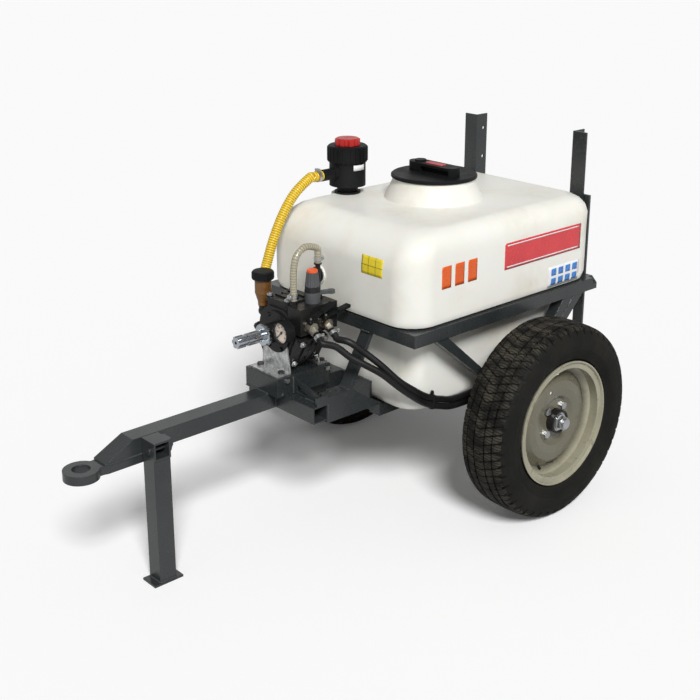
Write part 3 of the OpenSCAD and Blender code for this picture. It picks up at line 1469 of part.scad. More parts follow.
// Cup with an arm that opens the bypass
module bypass_lever() {
  arm_turn = 65.7;
  arm_t = 9;
  color(plastic_grey) at_bar() translate([knob_x, knob_y, reg_top + face_gap]) difference() {
    union() {
      cylinder(d1 = 44, d2 = 43, h = lever_h);
      rotate([0, 0, arm_turn]) {
        translate([0, -7, lever_h - arm_t - 5]) cube([bypass_lever_l - 8, 14, arm_t]);
        translate([bypass_lever_l - 11, 0, lever_h - arm_t - 5]) cylinder(d = 22, h = arm_t);
      }
    }
    translate([0, 0, -past]) cylinder(d = reg_stem_d + 2 * fit, h = lever_h + 2 * past);
  }
}

// Fluted knob that sets the pressure
module regulator_knob() {
  z0 = reg_top + lever_h + 2 * face_gap;
  color(cast_black) at_bar() translate([knob_x, knob_y, z0]) difference() {
    union() {
      cylinder(d1 = knob_d, d2 = knob_d - 2, h = 14);
      translate([0, 0, 14]) cylinder(d1 = knob_d - 2, d2 = 32, h = knob_h - 14);
    }
    for (i = [0 : knob_flutes - 1]) rotate([0, 0, 360 * i / knob_flutes])
      translate([knob_d / 2 + 0.5, 0, 8]) rotate([0, -7, 0]) cylinder(d = 6, h = knob_h);
    translate([0, 0, -past]) cylinder(d = reg_stem_d + 2 * fit, h = knob_h + past - 6);
    translate([0, 0, knob_h - 7]) cylinder(d = reg_stem_d + 2 * fit, h = 8);
  }
}

// Coloured cap pressed on the knob
module knob_ring() {
  z0 = reg_top + lever_h + 2 * face_gap + knob_h;
  color([0.93, 0.42, 0.10]) at_bar() translate([knob_x, knob_y, z0]) difference() {
    union() {
      cylinder(d = 30, h = ring_h - 2);
      translate([0, 0, ring_h - 2]) cylinder(d1 = 30, d2 = 25, h = 2);
    }
    translate([0, 0, -past]) cylinder(d = reg_stem_d + 2, h = past + 3);
  }
}

// Gauge: round case open to the front, with a dial at its back and a stem into the block
module gauge_case() {
  bezel = 3;
  color(cast_black) at_bar() {
    translate([gauge_x, gauge_y, gauge_z]) difference() {
      rod_y(gauge_d, gauge_depth);
      translate([0, -past, 0]) rod_y(gauge_d - 2 * bezel, 9 + past);
      translate([0, 7, 0]) rod_y(pivot_d + 2 * fit, 6);
    }
    translate([gauge_stem[0], gauge_y + gauge_depth, gauge_stem[1]])
      rod_y(12, reg_y[0] - 4 - gauge_y - gauge_depth);
  }
}

pivot_d = 4;

// Needle on its pivot, resting on the scale's zero at the lower left
module gauge_needle() {
  rest_turn = 90 - gauge_sweep / 2;
  color(signal_red) at_bar() translate([gauge_x, gauge_y + 5, gauge_z]) rotate([0, rest_turn, 0]) {
    rod_y(pivot_d, 8);
    rod_y(8, 2);
    translate([-24, 0, -1]) cube([32, 1.4, 2]);
  }
}

// Two ball valves on the block's side, each with a stem and an outlet spigot
module ball_valves() {
  color(nickel) at_bar() for (y = [valve_near_y, valve_far_y]) {
    translate([reg_x[1] - 11, y, valve_z]) rod_x(18, 12);
    translate([reg_x[1], y, valve_z]) difference() {
      union() {
        rod_x(30, 6);
        translate([6, 0, 0]) rotate([0, 90, 0]) cylinder(d = 31, h = 20, $fn = 8);
      }
    }
    translate([valve_x, y, valve_z]) {
      cylinder(d = valve_stem_d, h = stem_h(y));
      rotate([0, 90 + outlet_drop, 0]) {
        cylinder(d = 24, h = outlet_reach - 3, $fn = 6);
        translate([0, 0, outlet_reach]) spigot(delivery_bore, delivery_d + 3, hose_sides, 20);
      }
    }
  }
}

valve_stem_d = 8;
lever_t = 4;
lever_z = valve_z + 17.5;
function stem_h(y) = lever_z + lever_t + 5 - valve_z;

// Flat lever with a rising arm and a padded grip
module valve_lever(y, rise) {
  at_bar() translate([valve_x, y, lever_z]) difference() {
    union() {
      cylinder(d = 22, h = lever_t);
      rotate([rise, 0, 0]) translate([-7, 6, -1]) cube([14, valve_lever_l - 40, lever_t]);
      rotate([rise, 0, 0]) translate([-9, valve_lever_l - 42, -3]) cube([18, 42, lever_t + 4]);
    }
    translate([0, 0, -20]) cylinder(d = 16, h = 20);
    translate([0, 0, -past]) cylinder(d = valve_stem_d + 2 * fit, h = lever_t + 20);
  }
}

module valve_lever_near() color(cast_black) valve_lever(valve_near_y, 24);
module valve_lever_far() color(cast_black) valve_lever(valve_far_y, 10);

drawbar();
tow_eye();
lower_frame();
tank_cradle();
axle_beam();
spindles();
axle_nuts();
tank_hoop();
hoop_struts();
rear_uprights();
boom_posts();
post_bolts();
pump_deck();
stand_bolt();
stand_leg();
stand_pin();
tyre_left();
tyre_right();
rim_left();
rim_right();
hub_left();
hub_right();
wheel_bolts_left();
wheel_bolts_right();
bearings_left();
bearings_right();
tyre_valve_left();
tyre_valve_right();
tank();
tank_lid();
lid_breather();
strainer_basket();
tank_port_plug();
filter_body();
filter_collar();
filter_knob();
filter_screen();
dip_tube();
suction_hose();
hose_clamps();
pump_crankcase();
pump_heads();
head_bolts();
pto_shaft();
pump_feet();
foot_bolts();
oil_reservoir();
oil_cap();
regulator_body();
regulator_knob();
knob_ring();
bypass_lever();
gauge_case();
gauge_needle();
ball_valves();
valve_lever_near();
valve_lever_far();
bypass_hose();
delivery_hoses();
hose_fittings();
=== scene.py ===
# %% [markdown]
# # Dressing a towed sprayer cart
# The cart's frame, wheels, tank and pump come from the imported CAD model, in metres and
# already in place. This lesson gives them their real finishes, sweeps the hoses anew along
# the same routes, and adds what the CAD model leaves out: weld beads, a clip between two
# hoses, a printed gauge dial and the tank's stickers.

# %% Load the frame
import math

import bmesh
import bpy
from mathutils import Matrix, Vector
from mathutils.bvhtree import BVHTree


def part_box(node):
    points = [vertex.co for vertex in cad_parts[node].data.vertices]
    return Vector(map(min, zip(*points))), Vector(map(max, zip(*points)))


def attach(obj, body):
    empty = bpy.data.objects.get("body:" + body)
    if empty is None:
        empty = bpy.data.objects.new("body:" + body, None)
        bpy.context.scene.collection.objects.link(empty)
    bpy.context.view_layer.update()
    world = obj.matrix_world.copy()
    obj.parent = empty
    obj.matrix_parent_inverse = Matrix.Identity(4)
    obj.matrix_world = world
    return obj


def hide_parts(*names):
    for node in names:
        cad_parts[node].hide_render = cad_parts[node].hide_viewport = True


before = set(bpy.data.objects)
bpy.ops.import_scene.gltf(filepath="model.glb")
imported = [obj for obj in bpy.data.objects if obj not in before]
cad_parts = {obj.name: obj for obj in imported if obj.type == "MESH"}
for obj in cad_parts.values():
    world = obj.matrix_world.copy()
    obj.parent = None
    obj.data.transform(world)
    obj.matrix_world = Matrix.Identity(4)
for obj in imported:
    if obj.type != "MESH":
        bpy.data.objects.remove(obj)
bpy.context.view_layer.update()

# %% [markdown]
# ## Shared places
# The axle lies behind the middle of the footprint, and the drawbar, the pump and all that
# stands on them share a line left of the middle. Later cells measure from these.

# %% Shared places
AXLE_Y = 0.4285
BAR_X = -0.047
WHEEL_X = 0.4235
WHEEL_Z = 0.286
print("axle at", (0.0, AXLE_Y, WHEEL_Z), "and wheels", WHEEL_X, "m out")

# %% [markdown]
# ## The camera
# A catalogue picture of a cart is taken from a standing person's height, in front and to
# the right, with a fairly long lens so that the wheels keep their round shape. The small
# upward shift keeps the camera level enough for the posts to stay nearly upright.

# %% Camera
camera_data = bpy.data.cameras.new("studio_camera")
camera_data.lens = 60.21
camera_data.sensor_width = 36.0
camera_data.shift_y = -0.1
camera = bpy.data.objects.new("studio_camera", camera_data)
camera.location = (2.3305, -2.0472, 1.6697)
camera.rotation_euler = (math.radians(90 - 17.6), 0, math.radians(47.9))
bpy.context.scene.collection.objects.link(camera)
bpy.context.scene.camera = camera
print("camera at", tuple(camera.location))

# %% [markdown]
# ## Turning a bmesh into a piece
# Every new piece is modelled in a bmesh, written to a mesh whose object stays at the
# origin, and set to ride on the body that carries it. Normals are recalculated here once,
# because spinning or mirroring a shape can turn it inside out.

# %% Piece helper
def add_object(name, bm, material, smooth=True):
    mesh = bpy.data.meshes.new(name)
    bm.to_mesh(mesh)
    bm.free()
    mesh.polygons.foreach_set("use_smooth", [smooth] * len(mesh.polygons))
    mesh.materials.append(material)
    made = bpy.data.objects.new(name, mesh)
    bpy.context.scene.collection.objects.link(made)
    return made


def finish_piece(name, bm, material, body, smooth=True):
    bmesh.ops.recalc_face_normals(bm, faces=bm.faces)
    piece = add_object(name, bm, material, smooth)
    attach(piece, body)
    print(f"{name}: {len(piece.data.polygons)} faces on {body}")
    return piece

# %% [markdown]
# ## A base for every finish
# Real surfaces are never one flat colour. This base mixes two close tones with a slow
# noise, varies the roughness with a second one and raises a fine grain with a third. All
# patterns read Object coordinates, so they keep their size in millimetres on each piece.
# `patch` and `grain` are the scales of the slow and the fine noise.

# %% Finish helper
def link(tree, a, b):
    tree.links.new(a, b)


def node(tree, kind, **values):
    made = tree.nodes.new(kind)
    for key, value in values.items():
        if key in made.inputs:
            made.inputs[key].default_value = value
        else:
            setattr(made, key, value)
    return made


def object_coords(tree):
    return tree.nodes["Place"].outputs["Object"]


def noise(tree, scale, detail):
    made = node(tree, "ShaderNodeTexNoise", Scale=scale, Detail=detail)
    link(tree, object_coords(tree), made.inputs["Vector"])
    return made.outputs["Fac"]


def ramp(tree, value, low, high, left, right):
    made = tree.nodes.new("ShaderNodeValToRGB")
    made.color_ramp.elements[0].position = left
    made.color_ramp.elements[1].position = right
    made.color_ramp.elements[0].color = (*low, 1)
    made.color_ramp.elements[1].color = (*high, 1)
    link(tree, value, made.inputs["Fac"])
    return made.outputs["Color"]


def spread_to(tree, value, low, high, from_low=0.3, from_high=0.7):
    made = tree.nodes.new("ShaderNodeMapRange")
    limits = {"From Min": from_low, "From Max": from_high, "To Min": low, "To Max": high}
    for key, limit in limits.items():
        made.inputs[key].default_value = limit
    link(tree, value, made.inputs["Value"])
    return made.outputs["Result"]


def finish(name, tone, second, patch, rough, grain, bump, **shader):
    material = bpy.data.materials.new(name)
    material.use_nodes = True
    tree = material.node_tree
    surface = tree.nodes["Principled BSDF"]
    node(tree, "ShaderNodeTexCoord", name="Place")
    tint = ramp(tree, noise(tree, patch, 6), tone, second, 0.38, 0.68)
    link(tree, tint, surface.inputs["Base Color"])
    link(tree, spread_to(tree, noise(tree, patch * 3.1, 5), *rough), surface.inputs["Roughness"])
    raised = node(tree, "ShaderNodeBump", name="Grain", Strength=bump, Distance=0.0006)
    link(tree, noise(tree, grain, 3), raised.inputs["Height"])
    link(tree, raised.outputs["Normal"], surface.inputs["Normal"])
    for key, value in shader.items():
        surface.inputs[key.replace("_", " ")].default_value = value
    return material

# %% [markdown]
# A few small helpers serve many finishes: `calc` adds one Math node, `tint_by` lays a
# second colour over a material wherever a mask says so, and `under_grain` puts another
# normal below the fine grain.

# %% Mask helpers
def calc(tree, operation, a, b=None):
    made = node(tree, "ShaderNodeMath", operation=operation)
    for i, value in enumerate((a, b)):
        if value is None:
            continue
        if isinstance(value, (int, float)):
            made.inputs[i].default_value = value
        else:
            link(tree, value, made.inputs[i])
    return made.outputs[0]


def tint_by(material, mask, tone):
    tree = material.node_tree
    surface = tree.nodes["Principled BSDF"]
    mix = node(tree, "ShaderNodeMix", data_type="RGBA")
    link(tree, mask, mix.inputs["Factor"])
    link(tree, surface.inputs["Base Color"].links[0].from_socket, mix.inputs[6])
    mix.inputs[7].default_value = (*tone, 1)
    link(tree, mix.outputs[2], surface.inputs["Base Color"])


def under_grain(tree, normal):
    link(tree, normal, tree.nodes["Grain"].inputs["Normal"])


def axes_of(tree):
    axes = tree.nodes.new("ShaderNodeSeparateXYZ")
    link(tree, object_coords(tree), axes.inputs[0])
    return axes.outputs

# %% [markdown]
# ## Frame paint
# The frame is sprayed with dark grey enamel straight over cut tube, so its edges catch the
# light softly and the paint thins and chalks in places. A Bevel node rounds the shading of
# the sharp CAD edges without changing the mesh, and worn spots let a paler primer through.

# %% Frame paint
def soften_edges(material, radius):
    tree = material.node_tree
    bevel = node(tree, "ShaderNodeBevel", samples=4, Radius=radius)
    under_grain(tree, bevel.outputs["Normal"])


def add_specks(material, tone, scale, left, right):
    tree = material.node_tree
    tint_by(material, spread_to(tree, noise(tree, scale, 8), 0, 1, left, right), tone)


frame_paint = finish("frame_paint", (0.022, 0.026, 0.027), (0.034, 0.038, 0.039),
    6, (0.20, 0.34), 500, 0.18, Coat_Weight=0.35, Coat_Roughness=0.25)
soften_edges(frame_paint, 0.0026)
add_specks(frame_paint, (0.13, 0.13, 0.12), 55, 0.70, 0.76)
print("frame paint ready")

# %% [markdown]
# ## Cast and turned metals
# The pump is an aluminium casting in gloss black enamel, so its grain is coarse. Bolts, feet
# and clips are zinc plated, the drive shaft is ground and bright, and the ball valves are
# nickel-plated brass, a little warmer than zinc.

# %% Metals
pump_enamel = finish("pump_enamel", (0.010, 0.010, 0.010), (0.018, 0.017, 0.016),
    14, (0.24, 0.40), 420, 0.55, Specular_IOR_Level=0.28)
soften_edges(pump_enamel, 0.0012)
zinc_plate = finish("zinc_plate", (0.62, 0.63, 0.64), (0.48, 0.49, 0.49),
    22, (0.28, 0.46), 900, 0.10, Metallic=1.0)
foot_zinc = finish("foot_zinc", (0.78, 0.79, 0.78), (0.42, 0.43, 0.425),
    70, (0.20, 0.42), 300, 0.30, Metallic=0.75)
bright_steel = finish("bright_steel", (0.62, 0.66, 0.70), (0.48, 0.52, 0.56),
    30, (0.12, 0.24), 1200, 0.05, Metallic=1.0)
nickel_brass = finish("nickel_brass", (0.62, 0.57, 0.47), (0.47, 0.43, 0.36),
    26, (0.22, 0.38), 900, 0.12, Metallic=1.0)
print("metals ready")

# %% [markdown]
# The bolts that hold the pump were sprayed over with it, so above the platform they are
# black, while those through its side are bare zinc. One material does both by height.

# %% Bolts sprayed with the pump
SPRAYED_FROM_Z = 0.449

foot_bolt_finish = finish("foot_bolt_finish", (0.60, 0.61, 0.62), (0.47, 0.48, 0.48),
    22, (0.28, 0.46), 900, 0.10)
tree = foot_bolt_finish.node_tree
sprayed = spread_to(tree, axes_of(tree)[2], 0, 1, SPRAYED_FROM_Z, SPRAYED_FROM_Z + 0.001)
tint_by(foot_bolt_finish, sprayed, (0.014, 0.014, 0.014))
link(tree, calc(tree, "SUBTRACT", 1.0, sprayed), tree.nodes["Principled BSDF"].inputs["Metallic"])
print("sprayed bolts ready")

# %% [markdown]
# ## Polyethylene tank
# The tank is rotationally moulded from natural polyethylene: cream white, waxy, faintly
# wavy, and light passes a few millimetres into it. A little subsurface scattering gives the
# soft corners, and a slow second bump gives the long shallow waves of a moulded wall.

# %% Tank plastic
tank_plastic = finish("tank_plastic", (0.87, 0.86, 0.805), (0.83, 0.815, 0.75),
    3.2, (0.34, 0.46), 260, 0.10, Subsurface_Weight=0.12, Subsurface_Scale=0.01)
tree = tank_plastic.node_tree
waves = node(tree, "ShaderNodeBump", Strength=0.22, Distance=0.004)
link(tree, noise(tree, 7, 1), waves.inputs["Height"])
under_grain(tree, waves.outputs["Normal"])
print("tank plastic ready")

# %% [markdown]
# Spray and dust have left faint yellowish stains on the tank, in patches of all sizes.

# %% Tank stains
stains = calc(tree, "MULTIPLY", spread_to(tree, noise(tree, 5.5, 9), 0, 0.5, 0.46, 0.74),
    spread_to(tree, noise(tree, 38, 6), 0.3, 1.0))
tint_by(tank_plastic, stains, (0.62, 0.55, 0.40))
print("tank stains ready")

# %% [markdown]
# ## Plastics of the fittings
# Lid, filter and levers are injection moulded. Each gets a fine spark-eroded grain; the
# regulator's dark grey is matt and turns black in a band between its lever and its knob,
# painted shade under the knob's skirt, the red shut-off knob is glossier, and the oil
# reservoir is a smoky amber that lets light through.

# %% Fitting plastics
SKIRT_SHADE_Z = 0.6885
SKIRT_SHADE_HALF = 0.0080

black_plastic = finish("black_plastic", (0.007, 0.0075, 0.008), (0.012, 0.0125, 0.013),
    12, (0.42, 0.56), 800, 0.14, Specular_IOR_Level=0.15)
grey_plastic = finish("grey_plastic", (0.062, 0.067, 0.070), (0.085, 0.090, 0.094),
    14, (0.42, 0.56), 800, 0.14)
red_plastic = finish("red_plastic", (0.52, 0.022, 0.018), (0.42, 0.016, 0.014),
    18, (0.26, 0.38), 700, 0.08)
orange_plastic = finish("orange_plastic", (0.86, 0.13, 0.03), (0.74, 0.10, 0.025),
    18, (0.30, 0.42), 700, 0.08)
amber_plastic = finish("amber_plastic", (0.22, 0.10, 0.025), (0.14, 0.06, 0.018),
    20, (0.18, 0.30), 500, 0.06, Transmission_Weight=0.15)
sieve_mesh = finish("sieve_mesh", (0.34, 0.35, 0.36), (0.26, 0.27, 0.28),
    20, (0.4, 0.6), 900, 0.2)
tree = grey_plastic.node_tree
# Painted shade: a black band round the knob's foot, where its skirt meets the lever.
from_skirt_shade = calc(tree, "ABSOLUTE", calc(tree, "SUBTRACT", axes_of(tree)[2], SKIRT_SHADE_Z))
skirt_painted_shade = calc(tree, "LESS_THAN", from_skirt_shade, SKIRT_SHADE_HALF)
tint_by(grey_plastic, skirt_painted_shade, (0.010, 0.010, 0.011))
print("plastics ready")

# %% [markdown]
# ## Rim paint and dust
# The rims are painted a greenish cream. Dust has settled on them, so faint brown specks lie
# over the paint. The pressed disc is darkened with painted shade further down.

# %% Rim paint
rim_paint = finish("rim_paint", (0.34, 0.325, 0.235), (0.285, 0.27, 0.195),
    10, (0.18, 0.32), 450, 0.14, Coat_Weight=0.4, Coat_Roughness=0.15)
soften_edges(rim_paint, 0.0010)
add_specks(rim_paint, (0.20, 0.175, 0.12), 26, 0.60, 0.72)
print("rim paint ready")

# %% [markdown]
# ## Tyre rubber with sipes
# The grooves round the tyre are real in the CAD model. Its 72 cuts between blocks and its
# 216 thin sipes would be slow to model, so they are sunk by a bump and darkened with painted
# shade inside them. Their angle round the axle comes from an arctangent of the Object
# coordinates, and a radial pattern gives the fine rings of the sidewall. The same radius keeps
# the dust of the road on the tread and the painted shade of the rim on its disc.

# %% Tyre rubber
BLOCK_CUTS = 72
SIPES = 216
TREAD_FROM_R = 0.2725
RING_WAVES = 1500
RINGS_R = 0.205
RINGS_HALF = 0.012
DISC_FADE = (0.146, 0.158)


def wheel_place(tree):
    axes = axes_of(tree)
    along_cart = calc(tree, "SUBTRACT", axes[1], AXLE_Y)
    upward = calc(tree, "SUBTRACT", axes[2], WHEEL_Z)
    squares = calc(tree, "ADD", calc(tree, "MULTIPLY", along_cart, along_cart),
        calc(tree, "MULTIPLY", upward, upward))
    turned = calc(tree, "MULTIPLY", calc(tree, "ARCTAN2", upward, along_cart), 0.5 / math.pi)
    return calc(tree, "SQRT", squares), turned, axes[0]


def cuts_round(tree, turned, across, number, slope, width):
    step = calc(tree, "ADD", calc(tree, "MULTIPLY", turned, number),
        calc(tree, "MULTIPLY", across, slope))
    return calc(tree, "LESS_THAN", calc(tree, "FRACT", step), width)


tyre_rubber = finish("tyre_rubber", (0.009, 0.009, 0.008), (0.016, 0.015, 0.012),
    8, (0.60, 0.80), 900, 0.30, Specular_IOR_Level=0.15)
tree = tyre_rubber.node_tree
radius, turned, sideways = wheel_place(tree)
across = calc(tree, "SUBTRACT", calc(tree, "ABSOLUTE", sideways), WHEEL_X)
chevron = calc(tree, "ABSOLUTE", across)
tread = calc(tree, "GREATER_THAN", radius, TREAD_FROM_R)
blocks = calc(tree, "MULTIPLY", tread, cuts_round(tree, turned, chevron, BLOCK_CUTS, 16, 0.17))
sipes = calc(tree, "MULTIPLY", tread, cuts_round(tree, turned, chevron, SIPES, -20, 0.30))
dust = calc(tree, "MULTIPLY", tread, spread_to(tree, noise(tree, 26, 6), 0, 0.9, 0.40, 0.62))
tint_by(tyre_rubber, dust, (0.066, 0.060, 0.046))
# Painted shade: the sipes and the cuts between blocks are darkened, standing in for the shade
# inside them.
tint_by(tyre_rubber, calc(tree, "MULTIPLY", sipes, 0.8), (0.004, 0.004, 0.004))
tint_by(tyre_rubber, blocks, (0.002, 0.002, 0.002))
rings = calc(tree, "SINE", calc(tree, "MULTIPLY", radius, RING_WAVES))
from_rings = calc(tree, "ABSOLUTE", calc(tree, "SUBTRACT", radius, RINGS_R))
side_only = calc(tree, "LESS_THAN", from_rings, RINGS_HALF)
raised_rings = calc(tree, "MULTIPLY", calc(tree, "MULTIPLY", rings, side_only), 0.25)
height = calc(tree, "SUBTRACT", raised_rings,
    calc(tree, "MAXIMUM", blocks, calc(tree, "MULTIPLY", sipes, 0.5)))
cuts = node(tree, "ShaderNodeBump", Strength=1.0, Distance=0.003)
link(tree, height, cuts.inputs["Height"])
under_grain(tree, cuts.outputs["Normal"])

# Painted shade: the rim's pressed disc is tinted darker inside its radius, as if it lay in the
# wheel's shade.
disc_radius, _, _ = wheel_place(rim_paint.node_tree)
disc_painted_shade = spread_to(rim_paint.node_tree, disc_radius, 0.85, 0, *DISC_FADE)
tint_by(rim_paint, disc_painted_shade, (0.10, 0.093, 0.064))
print("tyre rubber ready")

# %% [markdown]
# ## Dressing the CAD nodes
# Each node keeps its mesh and takes its finish through its material slots. The table below
# is the cart's paint and plating list.

# %% Finishes by node
finishes = {
    frame_paint: "drawbar tow_eye lower_frame tank_cradle axle_beam tank_hoop hoop_struts "
        "rear_uprights boom_posts pump_deck stand_leg stand_bolt stand_pin",
    zinc_plate: "spindles axle_nuts post_bolts wheel_bolts_left wheel_bolts_right "
        "bearings_left bearings_right filter_screen hose_clamps head_bolts",
    foot_bolt_finish: "foot_bolts",
    foot_zinc: "pump_feet",
    bright_steel: "pto_shaft",
    tyre_rubber: "tyre_left tyre_right",
    rim_paint: "rim_left rim_right",
    pump_enamel: "hub_left hub_right pump_crankcase pump_heads regulator_body",
    tank_plastic: "tank",
    black_plastic: "tyre_valve_left tyre_valve_right tank_lid tank_port_plug filter_body "
        "filter_collar oil_cap valve_lever_near valve_lever_far gauge_case gauge_needle "
        "dip_tube lid_breather",
    grey_plastic: "bypass_lever regulator_knob",
    sieve_mesh: "strainer_basket",
    red_plastic: "filter_knob",
    orange_plastic: "knob_ring",
    amber_plastic: "oil_reservoir",
    nickel_brass: "ball_valves hose_fittings",
}
dressed = set()
for material, names in finishes.items():
    for name in names.split():
        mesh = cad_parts[name].data
        if not mesh.materials:
            mesh.materials.append(material)
        for i in range(len(mesh.materials)):
            mesh.materials[i] = material
        dressed.add(name)
print("not dressed yet:", sorted(set(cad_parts) - dressed))

# %% [markdown]
# ## A smooth tank wall
# The CAD tank is flat-shaded, so its rounded corners would show their strips. A welded copy
# of it is shaded smooth instead: edges sharper than 35 degrees stay crisp, and a Weighted
# Normal modifier lets the large flat walls decide the shading, so that they stay flat.

# %% Smooth tank
bm = bmesh.new()
bm.from_mesh(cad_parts["tank"].data)
bmesh.ops.remove_doubles(bm, verts=bm.verts, dist=0.00002)
for edge in bm.edges:
    edge.smooth = edge.calc_face_angle(0) < math.radians(35)
moulded_tank = finish_piece("moulded_tank", bm, tank_plastic, "chassis")
even_walls = moulded_tank.modifiers.new("even_walls", "WEIGHTED_NORMAL")
even_walls.keep_sharp = True
even_walls.weight = 80
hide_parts("tank")

# %% [markdown]
# ## Hose routes
# The four hoses are held at both ends, so their routes are those of the CAD model: a smooth
# line through a few points, then cut into equal steps. The line leaves each fitting
# straight, as a stiff hose does. Points are in millimetres, along the cart from the axle
# and up from the ground. A ribbed hose has six steps to a rib, over which its radius
# swings between crest and groove.

# %% Route helpers
def smooth_line(points, cuts=6):
    p = [Vector(q) for q in points]
    line = []
    for i in range(len(p) - 1):
        a, b, c, d = p[max(i - 1, 0)], p[i], p[i + 1], p[min(i + 2, len(p) - 1)]
        for k in range(cuts):
            t = k / cuts
            line.append(0.5 * (2 * b + (c - a) * t + (2 * a - 5 * b + 4 * c - d) * t * t
                + (3 * b - a - 3 * c + d) * t ** 3))
    return line + [p[-1]]


def even_steps(line, count):
    stations = [0.0]
    for a, b in zip(line, line[1:]):
        stations.append(stations[-1] + (b - a).length)
    steps, k = [line[0]], 0
    for i in range(1, count):
        s = stations[-1] * i / count
        while stations[k + 1] < s:
            k += 1
        share = (s - stations[k]) / (stations[k + 1] - stations[k])
        steps.append(line[k].lerp(line[k + 1], share))
    return steps + [line[-1]]


def place(points, x0=0.0):
    return [(x / 1000 + x0, y / 1000 + AXLE_Y, z / 1000) for x, y, z in points]


def length_of(line):
    return sum((b - a).length for a, b in zip(line, line[1:]))


RIB_STEPS = 6


def ribbed_radii(line, crest, depth):
    return [crest - depth * (1 - math.cos(2 * math.pi * i / RIB_STEPS))
        for i in range(len(line))]

# %% [markdown]
# ## Sweeping a tube
# A circle is extruded ring by ring along the route. Each new ring is moved from the frame of
# the last point to the frame of the next, carried along without twist, and scaled to its
# own radius, which is how the ribs of a suction hose are made. The distance along the hose
# is stored on each vertex, so that a material can follow the ribs.

# %% Sweep helper
def frames_along(line, first):
    side, made = Vector(first), []
    for i, point in enumerate(line):
        ahead = (line[min(i + 1, len(line) - 1)] - line[max(i - 1, 0)]).normalized()
        side = (side - ahead * side.dot(ahead)).normalized()
        up = ahead.cross(side)
        made.append(Matrix(((side.x, up.x, ahead.x, point.x), (side.y, up.y, ahead.y, point.y),
            (side.z, up.z, ahead.z, point.z), (0, 0, 0, 1))))
    return made


def sweep(bm, line, first, radii, sides):
    along = bm.verts.layers.float.get("along") or bm.verts.layers.float.new("along")
    frames = frames_along(line, first)
    places = [f @ Matrix.Diagonal((r, r, 1, 1)) for f, r in zip(frames, radii)]
    ring = bmesh.ops.create_circle(bm, cap_ends=True, segments=sides, radius=1.0)["verts"]
    bmesh.ops.transform(bm, matrix=places[0], verts=ring)
    edges = list({e for v in ring for e in v.link_edges})
    gone = 0.0
    for i in range(1, len(line)):
        gone += (line[i] - line[i - 1]).length
        made = bmesh.ops.extrude_edge_only(bm, edges=edges)["geom"]
        ring = [g for g in made if isinstance(g, bmesh.types.BMVert)]
        edges = [g for g in made if isinstance(g, bmesh.types.BMEdge)]
        bmesh.ops.transform(bm, matrix=places[i] @ places[i - 1].inverted(), verts=ring)
        for v in ring:
            v[along] = gone
    bmesh.ops.edgeloop_fill(bm, edges=edges)

# %% [markdown]
# ## Hose materials
# The suction hose is clear yellow PVC round a hard white spiral, and the bypass hose is
# milky with its spiral showing as thin pale lines. On both the colour darkens towards each
# groove, partly the spiral's own colour and partly painted shade in the hollows between
# ribs. Both read the stored distance along the hose.

# %% Hose materials
def banded(name, crest, groove, pitch, rough, **shader):
    material = finish(name, crest, crest, 30, rough, 500, 0.05, **shader)
    tree = material.node_tree
    surface = tree.nodes["Principled BSDF"]
    distance = node(tree, "ShaderNodeAttribute", attribute_name="along").outputs["Fac"]
    phase = calc(tree, "MULTIPLY", distance, 2 * math.pi / pitch)
    wave = calc(tree, "MULTIPLY_ADD", calc(tree, "COSINE", phase), 0.5)
    wave.node.inputs[2].default_value = 0.5
    worn = calc(tree, "MULTIPLY", wave, spread_to(tree, noise(tree, 40, 4), 0.8, 1.0))
    # Partly painted shade: the colour runs from the crest tone to a darker groove tone along each
    # rib.
    link(tree, ramp(tree, worn, groove, crest, 0.15, 0.75), surface.inputs["Base Color"])
    return material


delivery_rubber = finish("delivery_rubber", (0.008, 0.008, 0.0085), (0.014, 0.014, 0.0145),
    10, (0.36, 0.50), 900, 0.12, Specular_IOR_Level=0.25)
print("delivery rubber ready")

# %% [markdown]
# ## The suction hose
# The ribbed hose runs from the filter on the tank's top to the pump's inlet. Its 62 ribs
# are real geometry, because they shape its outline against the tank.

# %% Suction hose
SUCTION_RIBS = 62

suction_points = place([(-155, -300, 929), (-155, -332, 929), (-155, -344, 929), (-153, -403, 892),
    (-150, -450, 838), (-146, -488, 775), (-139, -517, 718), (-129, -538, 684), (-124, -545, 664),
    (-124, -545, 653), (-124, -545, 622)], BAR_X)
suction_line = even_steps(smooth_line(suction_points), SUCTION_RIBS * RIB_STEPS)
suction_length = length_of(suction_line)
rib_pitch = suction_length / SUCTION_RIBS
yellow_pvc = banded("yellow_pvc", (0.84, 0.59, 0.040), (0.50, 0.31, 0.015),
    rib_pitch, (0.26, 0.38),
    Subsurface_Weight=0.06, Subsurface_Scale=0.003, Coat_Weight=0.1)
bm = bmesh.new()
sweep(bm, suction_line, (1, 0, 0), ribbed_radii(suction_line, 0.0150, 0.0008), 24)
suction_hose = finish_piece("suction_hose_ribbed", bm, yellow_pvc, "chassis")
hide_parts("suction_hose")
print("suction hose", round(suction_length, 3), "m, rib pitch", round(rib_pitch * 1000, 2), "mm")

# %% [markdown]
# ## The bypass hose
# This short milky hose loops from the pressure regulator back to the return elbow. Its
# spiral stands out only a fraction of a millimetre.

# %% Bypass hose
BYPASS_TURNS = 34

